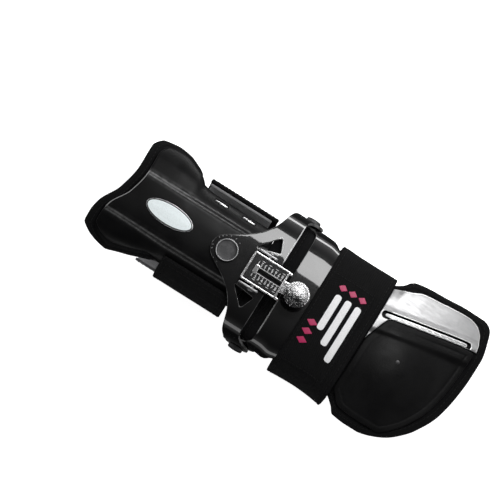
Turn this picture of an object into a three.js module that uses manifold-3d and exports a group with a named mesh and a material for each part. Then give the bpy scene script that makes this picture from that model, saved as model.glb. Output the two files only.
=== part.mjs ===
// Bowling wrist positioner for a right hand, seen on the back of the hand.
// Millimetres. +X runs from the forearm to the fingers, +Y is the thumb side, +Z is up.
// A padded metal plate is strapped to the forearm. A yoke swivels on it, and a padded hand
// plate with a band round the palm hangs in the yoke's ears, set by the dial on the yoke.
import * as THREE from 'three';
import * as BufferGeometryUtils from 'three/addons/utils/BufferGeometryUtils.js';
import Module from 'manifold-3d';

const wasm = await Module();
wasm.setup();

// Gap between pieces that touch
const clearance = 0.3;

// Gap between a plate and the curved pad that it lies on
const seatGap = 0.5;

// Wrist axis, which runs along Y through the yoke's ears
const hingeX = -7;
const hingeZ = 36;

// Forearm pad and plate
const forearmFrontX = -24;
const forearmLength = 120;
const forearmHalfWidth = 48;
const forearmTopZ = 60;
const forearmDrop = 24;
const forearmPower = 2.6;
const forearmPadThickness = 4.5;
const forearmPadLip = 2;
const forearmPadLipReach = 0.6;
const forearmPlateThickness = 1.8;
const plateInset = 7.5;
const plateBorder = 5.5;
const plateSideGap = 2;
const lobeGap = 0.7;
const panelHalfWidth = 15.5;
const panelSlopeWidth = 4.5;
const panelHeight = 3;

// Foam tongue that runs from under the plate's panel to under the yoke
const linerRearX = -40;
const linerFrontX = -11.9;
const linerHalfWidth = 14;
const linerWingHalfWidth = 29;
const linerFloorZ = 60.4;
const linerThickness = 2.2;

// Strap bars in the windows of the thumb flange
const barDiameter = 2.2;
const windowX = -57;
const windowY = 26.2;
const windowWidth = 3;
const windowLength = 10.5;
const windowPitch = 22.5;

// Windows in the yoke, from the dial brackets outwards
const yokeWindowMargin = 0.5;
const yokeWindowY = 18;
const yokeWindowTipY = 28.5;

// Forearm straps
const strapThickness = 2.5;
const strapRearX = -83;
const strapFrontX = -28;
const underBandThickness = 2;
const underBandRearPinkyX = -100;
const underBandRearThumbX = -82;
const underBandFrontX = -32;
const underBandTuck = 4;
const strapSideReach = 7;
const strapHeight = 60;
const strapLapY = -23;

// Oval badge
const badgeX = -94.5;
const badgeLength = 37;
const badgeWidth = 15.5;
const badgeThickness = 0.8;

// Yoke
const pivotX = -48;
const yokeThickness = 2;
const yokeSideGap = 0.5;
const yokePower = 3.4;
const earRadius = 9;
const earNeckZ = 11;
const pivotHoleDiameter = 6.6;
const pivotStudDiameter = 6;
const pivotKnobDiameter = 16.4;
const pivotKnobHeight = 3.6;
const screwDiameter = 5;
const screwHeadDiameter = 11;
const screwHeadHeight = 2.6;

// Dial
const dialX = -16.6;
const dialY = -1.5;
const dialLength = 28.4;
const dialWidth = 21.7;
const dialHeight = 7;
const dialLift = 5;
const dialWall = 1.3;
const dialFloor = 1.4;
const scaleThickness = 1.2;
const scaleRecess = 1;
const slotRearX = -25.8;
const slotLength = 21.4;
const slotWidth = 2.8;
const trunnionX = -20;
const trunnionDiameter = 3;
const trunnionHeight = 3.5;
const pinHeadDiameter = 5;
const pinHeadThickness = 1.2;
const bracketGap = 1.5;
const bracketThickness = 1.6;
const bracketLength = 15.6;
const bracketX = -22.2;
const bracketOverPin = 2.3;
const pointerX = -24;
const pointerLength = 3;
const pointerHeadWidth = 6.4;
const pointerHeadThickness = 1;
const linkWidth = 6;
const linkThickness = 1.2;
const linkEndX = 14;
const linkFoot = 2;
const lugHeight = 2.4;
const lugLength = 6;
const knobX = 9.2;
const knobDiameter = 18.6;
const knobHeight = 7.4;
const knobStudDiameter = 4;
const tongueWidth = 9;
const cornerLug = 2;

// Hand pad and plate
const handRearX = -8;
const handPadRearX = -11.5;
const handLength = 152;
const handHalfWidth = 58.8;
const handTopZ = 56.5;
const handDrop = 20.5;
const handPower = 3;
const handPadThickness = 4.5;
const handPlateThickness = 1.6;
const handPlateRearX = 0;
const handPlateFrontX = 58;
const handEarRadius = 8;
const handEarNeck = 13;
const handPlateTrim = 0.04;
const handSag = 7;

// Band round the palm
const bandThickness = 2.2;
const bandRearX = 20;
const bandFrontX = 64.5;
const bandSideBulge = 1;
const bandCornerRadius = 21;
const bandUprightRun = 10;

// Index finger plate, its rail and the knuckle cover
const fingerRearX = 65.3;
const fingerFrontX = 137;
const railThickness = 1.2;
const railUnder = 5;
const railRamp = 3.5;
const railRearX = 67.4;
const railWidth = 9;
const indexPlateThickness = 1.2;
const indexSlotWidth = 5.5;
const indexSlotRearX = 69.2;
const indexSlotFrontX = 129;
const coverThickness = 1.8;
const coverMargin = 8;
const coverGap = 0.8;
const coverCornerDepth = 19.5;
const coverCornerRun = 8.5;
const coverCornerPower = 1.4;
const domeHeight = 6;
const domeX = 92;
const domeY = -10;
const domeRadiusX = 34;
const domeRadiusY = 38;

// Outlines, as shares of the lengths and half widths above

// Half widths of the forearm pad, from the wrist end (0) to the rear end (1)
const forearmSides = [
  { along: 0, pinky: 0.645, thumb: 0.645, drop: 0.67 },
  { along: 0.44, pinky: 0.635, thumb: 0.665, drop: 0.67 },
  { along: 0.51, pinky: 0.63, thumb: 0.7, drop: 0.72 },
  { along: 0.56, pinky: 0.67, thumb: 0.85, drop: 0.8 },
  { along: 0.61, pinky: 0.71, thumb: 0.92, drop: 0.86 },
  { along: 0.67, pinky: 0.76, thumb: 0.98, drop: 0.92 },
  { along: 0.74, pinky: 0.81, thumb: 1.005, drop: 0.97 },
  { along: 0.81, pinky: 0.86, thumb: 1.01, drop: 1 },
  { along: 1, pinky: 0.88, thumb: 0.985, drop: 1 },
];

// Rear edge of the forearm pad, from the pinky side (-1) to the thumb side (1)
const forearmRearEdge = [
  { across: -1, reach: 0.8 },
  { across: -0.97, reach: 0.875 },
  { across: -0.9, reach: 0.945 },
  { across: -0.78, reach: 0.993 },
  { across: -0.6, reach: 0.995 },
  { across: -0.4, reach: 0.984 },
  { across: 0, reach: 0.917 },
  { across: 0.4, reach: 0.888 },
  { across: 0.78, reach: 0.893 },
  { across: 0.94, reach: 0.858 },
  { across: 1, reach: 0.745 },
];

// Half widths and side drop of the hand pad, from the wrist end (0) to the fingertips (1)
const handSides = [
  { along: 0, pinky: 0.764, thumb: 0.82, drop: 1, sag: 0 },
  { along: 0.09, pinky: 0.768, thumb: 0.82, drop: 0.99, sag: 0 },
  { along: 0.14, pinky: 0.785, thumb: 0.81, drop: 0.93, sag: 0 },
  { along: 0.19, pinky: 0.76, thumb: 0.775, drop: 0.85, sag: 0 },
  { along: 0.33, pinky: 0.745, thumb: 0.764, drop: 0.78, sag: 0 },
  { along: 0.46, pinky: 0.775, thumb: 0.765, drop: 0.69, sag: 0.02 },
  { along: 0.51, pinky: 0.87, thumb: 0.83, drop: 0.61, sag: 0.04 },
  { along: 0.54, pinky: 0.962, thumb: 0.922, drop: 0.5, sag: 0.07 },
  { along: 0.62, pinky: 0.985, thumb: 0.962, drop: 0.43, sag: 0.14 },
  { along: 0.72, pinky: 0.985, thumb: 0.978, drop: 0.38, sag: 0.3 },
  { along: 0.82, pinky: 0.982, thumb: 1, drop: 0.35, sag: 0.52 },
  { along: 1, pinky: 0.978, thumb: 1, drop: 0.33, sag: 1 },
];

// Fingertip edge of the hand pad, from the pinky side (-1) to the thumb side (1)
const handFrontEdge = [
  { across: -1, reach: 0.655 },
  { across: -0.985, reach: 0.696 },
  { across: -0.94, reach: 0.748 },
  { across: -0.856, reach: 0.812 },
  { across: -0.732, reach: 0.866 },
  { across: -0.605, reach: 0.906 },
  { across: -0.293, reach: 0.965 },
  { across: 0.04, reach: 0.99 },
  { across: 0.29, reach: 0.998 },
  { across: 0.534, reach: 0.999 },
  { across: 0.82, reach: 0.976 },
  { across: 0.905, reach: 0.964 },
  { across: 0.97, reach: 0.94 },
  { across: 1, reach: 0.905 },
];

// Reach of the yoke on each side, as shares of the way from the wrist axis to the pivot
const yokeRows = [
  { across: 0, rear: 1.29, front: 0.07 },
  { across: 0.1, rear: 1.26, front: 0.07 },
  { across: 0.18, rear: 1.17, front: 0.07 },
  { across: 0.24, rear: 1.05, front: 0.07 },
  { across: 0.37, rear: 0.81, front: 0.07 },
  { across: 0.5, rear: 0.635, front: 0.07 },
  { across: 0.62, rear: 0.53, front: 0.07 },
  { across: 0.73, rear: 0.465, front: 0.07 },
  { across: 0.84, rear: 0.42, front: 0.07 },
  { across: 0.92, rear: 0.385, front: 0.05 },
  { across: 0.965, rear: 0.345, front: -0.02 },
  { across: 0.99, rear: 0.3, front: -0.12 },
  { across: 0.999, rear: 0.28, front: -0.2 },
];

// Pinky-side edge of the index plate's slot, as shares of the fingers' length and of the
// hand's half width. The knuckle cover ends there too, but for its cut corner at the band.
const railEdge = [
  { along: 0, reach: 0.322 },
  { along: 0.5, reach: 0.452 },
  { along: 0.86, reach: 0.54 },
  { along: 1, reach: 0.565 },
];

// Thumb-side edge of the index plate, as shares of the hand's half width
const indexEdge = [
  { along: 0, reach: 0.7 },
  { along: 0.18, reach: 0.785 },
  { along: 0.27, reach: 0.835 },
  { along: 0.44, reach: 0.86 },
  { along: 0.77, reach: 0.895 },
  { along: 0.87, reach: 0.865 },
  { along: 0.94, reach: 0.795 },
  { along: 0.98, reach: 0.69 },
  { along: 1, reach: 0.58 },
];

// Free run of the black strap, from the pinky side under the arm to the thumb side
const strapRun = [
  { side: -0.875, height: 0.78 },
  { side: -0.915, height: 0.66 },
  { side: -0.94, height: 0.47 },
  { side: -0.89, height: 0.23 },
  { side: -0.78, height: 0.08 },
  { side: -0.62, height: 0 },
  { side: -0.3, height: 0 },
  { side: 0, height: 0 },
  { side: 0.3, height: 0 },
  { side: 0.62, height: 0 },
  { side: 0.84, height: 0.08 },
  { side: 0.99, height: 0.23 },
  { side: 1.055, height: 0.47 },
  { side: 1.04, height: 0.66 },
  { side: 0.995, height: 0.8 },
];

const materials = {
  paint: { color: 0x101012, roughness: 0.22, metalness: 0.3 },
  foam: { color: 0x151516, roughness: 0.9, metalness: 0 },
  webbing: { color: 0x121213, roughness: 0.95, metalness: 0 },
  greyCloth: { color: 0x6a6a6c, roughness: 0.95, metalness: 0 },
  leather: { color: 0x0f0f10, roughness: 0.5, metalness: 0 },
  steel: { color: 0xc9cacc, roughness: 0.3, metalness: 1 },
  chrome: { color: 0xe8e8ea, roughness: 0.08, metalness: 1 },
  darkMetal: { color: 0x48484b, roughness: 0.45, metalness: 0.8 },
  white: { color: 0xf2f6f7, roughness: 0.4, metalness: 0 },
};

const group = new THREE.Group();

function add(name, geometry, material) {
  const mesh = new THREE.Mesh(geometry, new THREE.MeshStandardMaterial(materials[material]));
  mesh.name = name;
  group.add(mesh);
}

// Smooth curve through the rows of a table, without overshoot
function curve(rows, from, to) {
  return (at) => {
    const last = rows.length - 1;
    if (at <= rows[0][from]) return rows[0][to];
    if (at >= rows[last][from]) return rows[last][to];
    let i = 0;
    while (at > rows[i + 1][from]) i += 1;
    const step = (k) => (rows[k + 1][to] - rows[k][to]) / (rows[k + 1][from] - rows[k][from]);
    const slope = (k) => {
      if (k === 0 || k === last) return step(Math.min(k, last - 1));
      const before = step(k - 1);
      const after = step(k);
      return before * after <= 0 ? 0 : (2 * before * after) / (before + after);
    };
    const width = rows[i + 1][from] - rows[i][from];
    const t = (at - rows[i][from]) / width;
    const start = rows[i][to];
    const rise = rows[i + 1][to] - start;
    const bend = t * (1 - t);
    const easing = t * t * (3 - 2 * t);
    return start + rise * easing + width * bend * (slope(i) * (1 - t) - slope(i + 1) * t);
  };
}

function smoothstep(from, to, at) {
  return THREE.MathUtils.smoothstep(at, from, to);
}

// Closed solid between two grids of points, the outer one seen from outside
function slab(outer, inner) {
  const rows = outer.length;
  const columns = outer[0].length;
  const points = [...outer.flat(), ...inner.flat()];
  const lower = rows * columns;
  const index = [];
  const quad = (a, b, c, d) => index.push(a, b, c, a, c, d);
  for (let i = 0; i < rows - 1; i += 1) {
    for (let j = 0; j < columns - 1; j += 1) {
      const a = i * columns + j;
      quad(a, a + columns, a + columns + 1, a + 1);
      quad(lower + a, lower + a + 1, lower + a + columns + 1, lower + a + columns);
    }
  }
  const rim = [];
  for (let j = 0; j < columns; j += 1) rim.push(j);
  for (let i = 1; i < rows; i += 1) rim.push(i * columns + columns - 1);
  for (let j = columns - 2; j >= 0; j -= 1) rim.push((rows - 1) * columns + j);
  for (let i = rows - 2; i > 0; i -= 1) rim.push(i * columns);
  rim.forEach((a, k) => {
    const b = rim[(k + 1) % rim.length];
    quad(a, b, lower + b, lower + a);
  });
  return fromPoints(points, index);
}

// Closed ring between two grids whose rows are closed loops
function ring(outer, inner) {
  const rows = outer.length;
  const columns = outer[0].length;
  const points = [...outer.flat(), ...inner.flat()];
  const lower = rows * columns;
  const index = [];
  const quad = (a, b, c, d) => index.push(a, b, c, a, c, d);
  for (let j = 0; j < columns; j += 1) {
    const next = (j + 1) % columns;
    for (let i = 0; i < rows - 1; i += 1) {
      const a = i * columns;
      const b = a + columns;
      quad(a + j, b + j, b + next, a + next);
      quad(lower + a + j, lower + a + next, lower + b + next, lower + b + j);
    }
    const end = (rows - 1) * columns;
    quad(j, next, lower + next, lower + j);
    quad(end + next, end + j, lower + end + j, lower + end + next);
  }
  return fromPoints(points, index);
}

function fromPoints(points, index) {
  const geometry = new THREE.BufferGeometry();
  const flat = points.flatMap((p) => [p.x, p.y, p.z]);
  geometry.setAttribute('position', new THREE.Float32BufferAttribute(flat, 3));
  geometry.setIndex(index);
  return geometry;
}

function toSolid(geometry) {
  const bare = geometry.clone();
  bare.deleteAttribute('normal');
  bare.deleteAttribute('uv');
  const merged = BufferGeometryUtils.mergeVertices(bare, 1e-4);
  const vertProperties = new Float32Array(merged.attributes.position.array);
  const triVerts = new Uint32Array(merged.index.array);
  return new wasm.Manifold(new wasm.Mesh({ numProp: 3, vertProperties, triVerts }));
}

function toGeometry(solid) {
  const mesh = solid.getMesh();
  const geometry = new THREE.BufferGeometry();
  geometry.setAttribute('position', new THREE.Float32BufferAttribute(mesh.vertProperties, 3));
  geometry.setIndex(Array.from(mesh.triVerts));
  return geometry;
}

function combine(base, added, cut) {
  let solid = toSolid(base);
  added.forEach((geometry) => { solid = solid.add(toSolid(geometry)); });
  cut.forEach((geometry) => { solid = solid.subtract(toSolid(geometry)); });
  return toGeometry(solid);
}

// Arched surface: flat on top, falling off to steep sides
function archHeight(arch, x, y) {
  const half = y < 0 ? arch.pinky(x) : arch.thumb(x);
  const share = Math.min(Math.abs(y) / half, 0.9995);
  const fall = 1 - (1 - share ** arch.power) ** (1 / arch.power);
  return arch.top(x) - arch.drop(x) * fall;
}

function archPoint(arch, x, y, offset) {
  const step = 0.05;
  const dx = (archHeight(arch, x + step, y) - archHeight(arch, x - step, y)) / (2 * step);
  const inward = Math.abs(y) - step;
  const side = Math.sign(y) || 1;
  const near = archHeight(arch, x, side * inward);
  const far = archHeight(arch, x, side * (inward + 2 * step));
  const dy = (side * (far - near)) / (2 * step);
  const normal = new THREE.Vector3(-dx, -dy, 1).normalize();
  return new THREE.Vector3(x, y, archHeight(arch, x, y)).addScaledVector(normal, offset);
}

// Layer on an arch between two offsets, over rows from rear to front and the given places
function layer(arch, rowCount, spots, low, high) {
  const outer = [];
  const inner = [];
  for (let i = 0; i <= rowCount; i += 1) {
    const row = spots(i / rowCount);
    outer.push(row.map(({ x, y }) => archPoint(arch, x, y, high(x, y))));
    inner.push(row.map(({ x, y }) => archPoint(arch, x, y, low(x, y))));
  }
  return slab(outer, inner);
}

function prism(shape, depth, bottomZ) {
  const geometry = new THREE.ExtrudeGeometry(shape, { depth, bevelEnabled: false, curveSegments: 6 });
  return geometry.translate(0, 0, bottomZ);
}

function polygon(corners) {
  return new THREE.Shape(corners.map(([x, y]) => new THREE.Vector2(x, y)));
}

function block(sizeX, sizeY, sizeZ, x, y, z) {
  return new THREE.BoxGeometry(sizeX, sizeY, sizeZ).translate(x, y, z);
}

// Cylinder along Y between two places
function crossPin(diameter, fromY, toY, x, z, sides) {
  const length = Math.abs(toY - fromY);
  const geometry = new THREE.CylinderGeometry(diameter / 2, diameter / 2, length, sides);
  return geometry.translate(x, (fromY + toY) / 2, z);
}

// Turned piece on a vertical axis
function turned(profile, sides, x, y, z) {
  const points = profile.map(([radius, height]) => new THREE.Vector2(radius, height));
  return new THREE.LatheGeometry(points, sides).rotateX(Math.PI / 2).translate(x, y, z);
}

// Forearm: the pad's outline and arch
const forearmAlong = (x) => (forearmFrontX - x) / forearmLength;
const forearmPinky = curve(forearmSides, 'along', 'pinky');
const forearmThumb = curve(forearmSides, 'along', 'thumb');
const forearmFall = curve(forearmSides, 'along', 'drop');
const forearmRear = curve(forearmRearEdge, 'across', 'reach');
const forearmArch = {
  pinky: (x) => forearmHalfWidth * forearmPinky(forearmAlong(x)),
  thumb: (x) => forearmHalfWidth * forearmThumb(forearmAlong(x)),
  drop: (x) => forearmDrop * forearmFall(forearmAlong(x)),
  top: () => forearmTopZ,
  power: forearmPower,
};

// Shares mirrored to both sides, in order from the pinky side to the thumb side
function bothSides(shares) {
  return [...shares.slice().reverse().map((share) => -share), ...shares];
}

function halfAt(arch, x, side) {
  return side < 0 ? arch.pinky(x) : arch.thumb(x);
}

function makeForearmPad() {
  const shares = bothSides([0.3, 0.5, 0.66, 0.8, 0.9, 0.965, 0.995]);
  shares.splice(shares.length / 2, 0, 0);
  const spots = (t) => shares.map((share) => {
    const rearX = forearmFrontX - forearmLength * forearmRear(share);
    const frontX = forearmFrontX + (Math.abs(share) < forearmPadLipReach ? forearmPadLip : 0);
    const x = THREE.MathUtils.lerp(rearX, frontX, t);
    return { x, y: share * halfAt(forearmArch, x, share) };
  });
  return layer(forearmArch, 15, spots, () => -forearmPadThickness, () => 0);
}

function panelRaise(y) {
  return panelHeight * (1 - smoothstep(panelHalfWidth, panelHalfWidth + panelSlopeWidth, Math.abs(y)));
}

function plateSideInset(x) {
  const share = smoothstep(0.49, 0.6, forearmAlong(x));
  return THREE.MathUtils.lerp(plateSideGap, plateBorder, share);
}

// One row of the plate: its edges follow the pad, its bends run straight along the panel
function forearmPlateRow(t) {
  const bend = panelHalfWidth + panelSlopeWidth;
  const bends = [panelHalfWidth / 2, panelHalfWidth, panelHalfWidth + panelSlopeWidth / 2, bend];
  const place = (share, yAt) => {
    const rearX = forearmFrontX - forearmLength * forearmRear(share) + plateInset;
    const x = THREE.MathUtils.lerp(rearX, forearmFrontX, t);
    return { x, y: yAt(x) };
  };
  const flange = (share, side) => place(side * share, (x) => {
    const edge = halfAt(forearmArch, x, side) * 0.99 - plateSideInset(x);
    return side * THREE.MathUtils.lerp(bend, edge, (share - 0.5) / 0.5);
  });
  const middle = (side) => bends.map((y) => place((side * y) / forearmHalfWidth, () => side * y));
  const outside = (side) => [0.68, 0.84, 0.94, 1].map((share) => flange(share, side));
  return [
    ...outside(-1).reverse(), ...middle(-1).reverse(),
    place(0, () => 0),
    ...middle(1), ...outside(1),
  ];
}

const panelTopZ = forearmTopZ + seatGap + panelHeight + forearmPlateThickness;
const windowPlaces = [windowX - windowPitch / 2, windowX + windowPitch / 2];

// The plate lies a little higher over the pad's wide rear lobes
const lobeFrom = forearmHalfWidth * 0.46;
const lobeTo = forearmHalfWidth * 0.67;

function makeForearmPlate() {
  const lobe = (x, y) => smoothstep(0.45, 0.55, forearmAlong(x)) * smoothstep(lobeFrom, lobeTo, Math.abs(y));
  const low = (x, y) => seatGap + lobeGap * lobe(x, y) + panelRaise(y);
  const high = (x, y) => low(x, y) + forearmPlateThickness;
  const plate = layer(forearmArch, 14, forearmPlateRow, low, high);
  const windows = windowPlaces.map((x) => {
    const bar = barCentre(x);
    return block(windowLength, windowWidth, 12, x, bar.y, bar.z + 2);
  });
  return combine(plate, [], [...windows, pivotBore()]);
}

function pivotBore() {
  const radius = pivotHoleDiameter / 2;
  const reach = 2 * (yokeThickness + forearmPlateThickness);
  return turned([[0, -reach], [radius, -reach], [radius, reach], [0, reach]], 16, pivotX, 0, panelTopZ);
}

function barCentre(x) {
  return archPoint(forearmArch, x, windowY, clearance + barDiameter / 2);
}

function makeStrapBar(x) {
  const centre = barCentre(x);
  const length = windowLength - 2 * clearance;
  const bar = new THREE.CylinderGeometry(barDiameter / 2, barDiameter / 2, length, 10);
  return bar.rotateZ(Math.PI / 2).translate(x, centre.y, centre.z);
}

const strapHalfWidth = forearmHalfWidth * forearmSides[1].thumb + strapSideReach;

// Strap solid from its middle line in the YZ plane at each of the given places along X
function strapSolid(stations, lineAt, thickness, closed) {
  const near = [];
  const far = [];
  stations.forEach((station) => {
    const line = lineAt(station);
    const count = line.length;
    const nearRow = [];
    const farRow = [];
    line.forEach((point, k) => {
      const before = closed ? line[(k + count - 1) % count] : line[Math.max(k - 1, 0)];
      const after = closed ? line[(k + 1) % count] : line[Math.min(k + 1, count - 1)];
      const run = new THREE.Vector3().subVectors(after, before);
      const side = new THREE.Vector3(0, -run.z, run.y).normalize().multiplyScalar(thickness / 2);
      nearRow.push(point.clone().add(side));
      farRow.push(point.clone().sub(side));
    });
    near.push(nearRow);
    far.push(farRow);
  });
  return closed ? ring(near, far) : slab(near, far);
}

function stations(count, from, to) {
  return Array.from({ length: count + 1 }, (_, i) => from + ((to - from) * i) / count);
}

function smoothLine(points, count) {
  return new THREE.CatmullRomCurve3(points, false, 'centripetal').getSpacedPoints(count);
}

function makeForearmStrap() {
  const floor = strapThickness / 2;
  const lift = 3 * seatGap + forearmPlateThickness + floor;
  const edgeY = seatGap - forearmArch.pinky(windowX);
  const lap = [strapLapY, (strapLapY + edgeY) / 2, edgeY];
  const lineAt = (x) => {
    const top = lap.map((y) => archPoint(forearmArch, x, y, lift).setX(x));
    const run = strapRun.map(({ side, height }) => (
      new THREE.Vector3(x, side * strapHalfWidth, floor + height * (strapHeight - floor))));
    const line = smoothLine([...top, ...run], 44);
    line.forEach((point) => { point.z = Math.max(point.z, floor); });
    return line;
  };
  return strapSolid(stations(4, strapRearX, strapFrontX), lineAt, strapThickness, false);
}

function makeUnderBand() {
  const floor = strapThickness + clearance + underBandThickness / 2;
  const inset = strapThickness / 2 + underBandThickness / 2 + 2 * clearance;
  const half = strapHalfWidth - inset;
  const rise = strapHeight - floor;
  const run = strapRun.filter(({ side, height }) => side > 0 || height < 0.6);
  const lineAt = (front) => {
    const points = run.map(({ side, height }) => {
      const share = (side + 1) / 2;
      const rearX = THREE.MathUtils.lerp(underBandRearPinkyX, underBandRearThumbX, share);
      const x = THREE.MathUtils.lerp(rearX, underBandFrontX, front);
      return new THREE.Vector3(x, side * half, floor + height * rise);
    });
    const last = points[points.length - 1];
    points.push(new THREE.Vector3(last.x, last.y - underBandTuck / 10, last.z + underBandTuck));
    const line = smoothLine(points, 34);
    line.forEach((point) => { point.z = Math.max(point.z, floor); });
    return line;
  };
  return strapSolid(stations(4, 0, 1), lineAt, underBandThickness, false);
}

function makeBadge() {
  const shape = new THREE.Shape();
  shape.absellipse(0, 0, badgeLength / 2, badgeWidth / 2, 0, 2 * Math.PI);
  const badge = new THREE.ExtrudeGeometry(shape,
    { depth: badgeThickness, bevelEnabled: false, curveSegments: 28 });
  return badge.translate(badgeX, 0, panelTopZ + clearance);
}

function makeWristLiner() {
  const wingX = forearmFrontX + clearance;
  const side = (sign) => [
    [linerRearX, sign * linerHalfWidth], [wingX, sign * linerHalfWidth],
    [wingX, sign * linerWingHalfWidth], [linerFrontX, sign * linerWingHalfWidth],
  ];
  return prism(polygon([...side(-1), ...side(1).reverse()]), linerThickness, linerFloorZ);
}

add('forearm_pad', makeForearmPad(), 'foam');
add('wrist_liner', makeWristLiner(), 'foam');
add('forearm_plate', makeForearmPlate(), 'paint');
windowPlaces.forEach((x, i) => add(`strap_bar_${i + 1}`, makeStrapBar(x), 'steel'));
add('forearm_strap', makeForearmStrap(), 'webbing');
add('under_band', makeUnderBand(), 'greyCloth');
add('badge', makeBadge(), 'white');

// Yoke: one bent sheet with two ears, two dial brackets and two windows
const yokeBottomZ = panelTopZ + clearance;
const yokeTopZ = yokeBottomZ + yokeThickness;
const yokeReach = hingeX - pivotX;
const sides = [{ name: 'pinky', sign: -1 }, { name: 'thumb', sign: 1 }];

// Inner faces of the hand plate's ears and of the yoke, on the pinky side (-1) and the thumb side (1)
const handWall = (sign) => handHalfWidth * (sign < 0 ? handSides[0].pinky : handSides[0].thumb) + clearance;
const yokeWall = (sign) => handWall(sign) + handPlateThickness + yokeSideGap;
const yokeArch = {
  pinky: () => yokeWall(-1),
  thumb: () => yokeWall(1),
  drop: () => yokeBottomZ - hingeZ,
  top: () => yokeBottomZ,
  power: yokePower,
};
const dialFloorZ = yokeTopZ + dialLift;
const trunnionZ = dialFloorZ + trunnionHeight;
const bracketInner = dialWidth / 2 + bracketGap;

// Round-ended ear in the XZ plane between two places along Y
function ear(radius, neckFrom, neckTo, neckTop, fromY, toY) {
  const disc = crossPin(2 * radius, fromY, toY, hingeX, hingeZ, 28);
  const height = neckTop - hingeZ;
  const neck = block(neckTo - neckFrom, Math.abs(toY - fromY), height,
    (neckFrom + neckTo) / 2, (fromY + toY) / 2, hingeZ + height / 2);
  return [disc, neck];
}

function yokeWindow(sign, innerY) {
  const corners = [[0.61, innerY], [0.3, sign * yokeWindowTipY], [0.19, sign * yokeWindowY]];
  const places = corners.map(([share, y]) => [hingeX - share * yokeReach, y]);
  return prism(polygon(places), 14, yokeBottomZ - 6);
}

function makeYoke() {
  const rear = curve(yokeRows, 'across', 'rear');
  const front = curve(yokeRows, 'across', 'front');
  const shares = bothSides(yokeRows.slice(1).map((row) => row.across));
  shares.splice(shares.length / 2, 0, 0);
  const spots = (t) => shares.map((share) => {
    const from = hingeX - yokeReach * rear(Math.abs(share));
    const to = hingeX - yokeReach * front(Math.abs(share));
    return { x: THREE.MathUtils.lerp(from, to, t), y: share * yokeWall(Math.sign(share)) };
  });
  const sheet = layer(yokeArch, 5, spots, () => 0, () => yokeThickness);
  const added = [];
  const cut = [pivotBore()];
  sides.forEach(({ sign }) => {
    const inner = sign * yokeWall(sign);
    const outer = inner + sign * yokeThickness;
    added.push(...ear(earRadius, hingeX - earRadius, hingeX + earRadius - 1, hingeZ + earNeckZ, inner,
      outer));
    const bracketY = dialY + sign * (bracketInner + bracketThickness / 2);
    const bracketTop = trunnionZ + bracketOverPin;
    const bracketBottom = yokeBottomZ + yokeThickness / 2;
    added.push(block(bracketLength, bracketThickness, bracketTop - bracketBottom,
      bracketX, bracketY, (bracketTop + bracketBottom) / 2));
    const innerY = bracketY + sign * (bracketThickness / 2 + yokeWindowMargin);
    cut.push(yokeWindow(sign, innerY));
    cut.push(crossPin(screwDiameter + 2 * clearance, inner - sign * 3, outer + sign * 3, hingeX, hingeZ, 16));
    cut.push(crossPin(trunnionDiameter + 2 * clearance, bracketY - 2, bracketY + 2, trunnionX, trunnionZ,
      12));
  });
  return combine(sheet, added, cut);
}

function makeHingeScrew(sign) {
  const headFrom = yokeWall(sign) + yokeThickness + clearance;
  const head = crossPin(screwHeadDiameter, sign * headFrom, sign * (headFrom + screwHeadHeight), hingeX,
    hingeZ, 24);
  const shaft = crossPin(screwDiameter, sign * (handWall(sign) + clearance), sign * (headFrom + 1), hingeX,
    hingeZ, 16);
  return combine(head, [shaft], []);
}

function makeDialPin(sign) {
  const bracketOuter = bracketInner + bracketThickness;
  const headFrom = bracketOuter + clearance;
  const wallInner = dialWidth / 2 - dialWall;
  const at = (y) => dialY + sign * y;
  const head = crossPin(pinHeadDiameter, at(headFrom), at(headFrom + pinHeadThickness), trunnionX,
    trunnionZ, 14);
  const shaft = crossPin(trunnionDiameter, at(wallInner), at(headFrom + pinHeadThickness / 2), trunnionX,
    trunnionZ, 12);
  return combine(head, [shaft], []);
}

function makePivotKnob() {
  const radius = pivotKnobDiameter / 2;
  const stud = pivotStudDiameter / 2;
  const bottom = -yokeThickness - clearance - forearmPlateThickness;
  const profile = [
    [0, bottom], [stud, bottom], [stud, 0], [radius, 0],
    [radius, pivotKnobHeight - 0.7], [radius - 0.7, pivotKnobHeight],
    [radius - 1.6, pivotKnobHeight], [radius - 2, pivotKnobHeight - 0.5], [0, pivotKnobHeight - 0.5],
  ];
  return turned(profile, 32, pivotX, 0, yokeTopZ + clearance);
}

add('yoke', makeYoke(), 'paint');
sides.forEach(({ name, sign }) => {
  add(`hinge_screw_${name}`, makeHingeScrew(sign), 'darkMetal');
  add(`dial_pin_${name}`, makeDialPin(sign), 'steel');
});
add('pivot_knob', makePivotKnob(), 'darkMetal');

// Dial: a tray on trunnions, its scale, the pointer with its link, and the thumb knob
const dialTopZ = dialFloorZ + dialHeight;
const slotCentreX = slotRearX + slotLength / 2;
const tongueTopZ = dialFloorZ + dialFloor;
const scaleTopZ = dialTopZ - scaleRecess;

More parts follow.
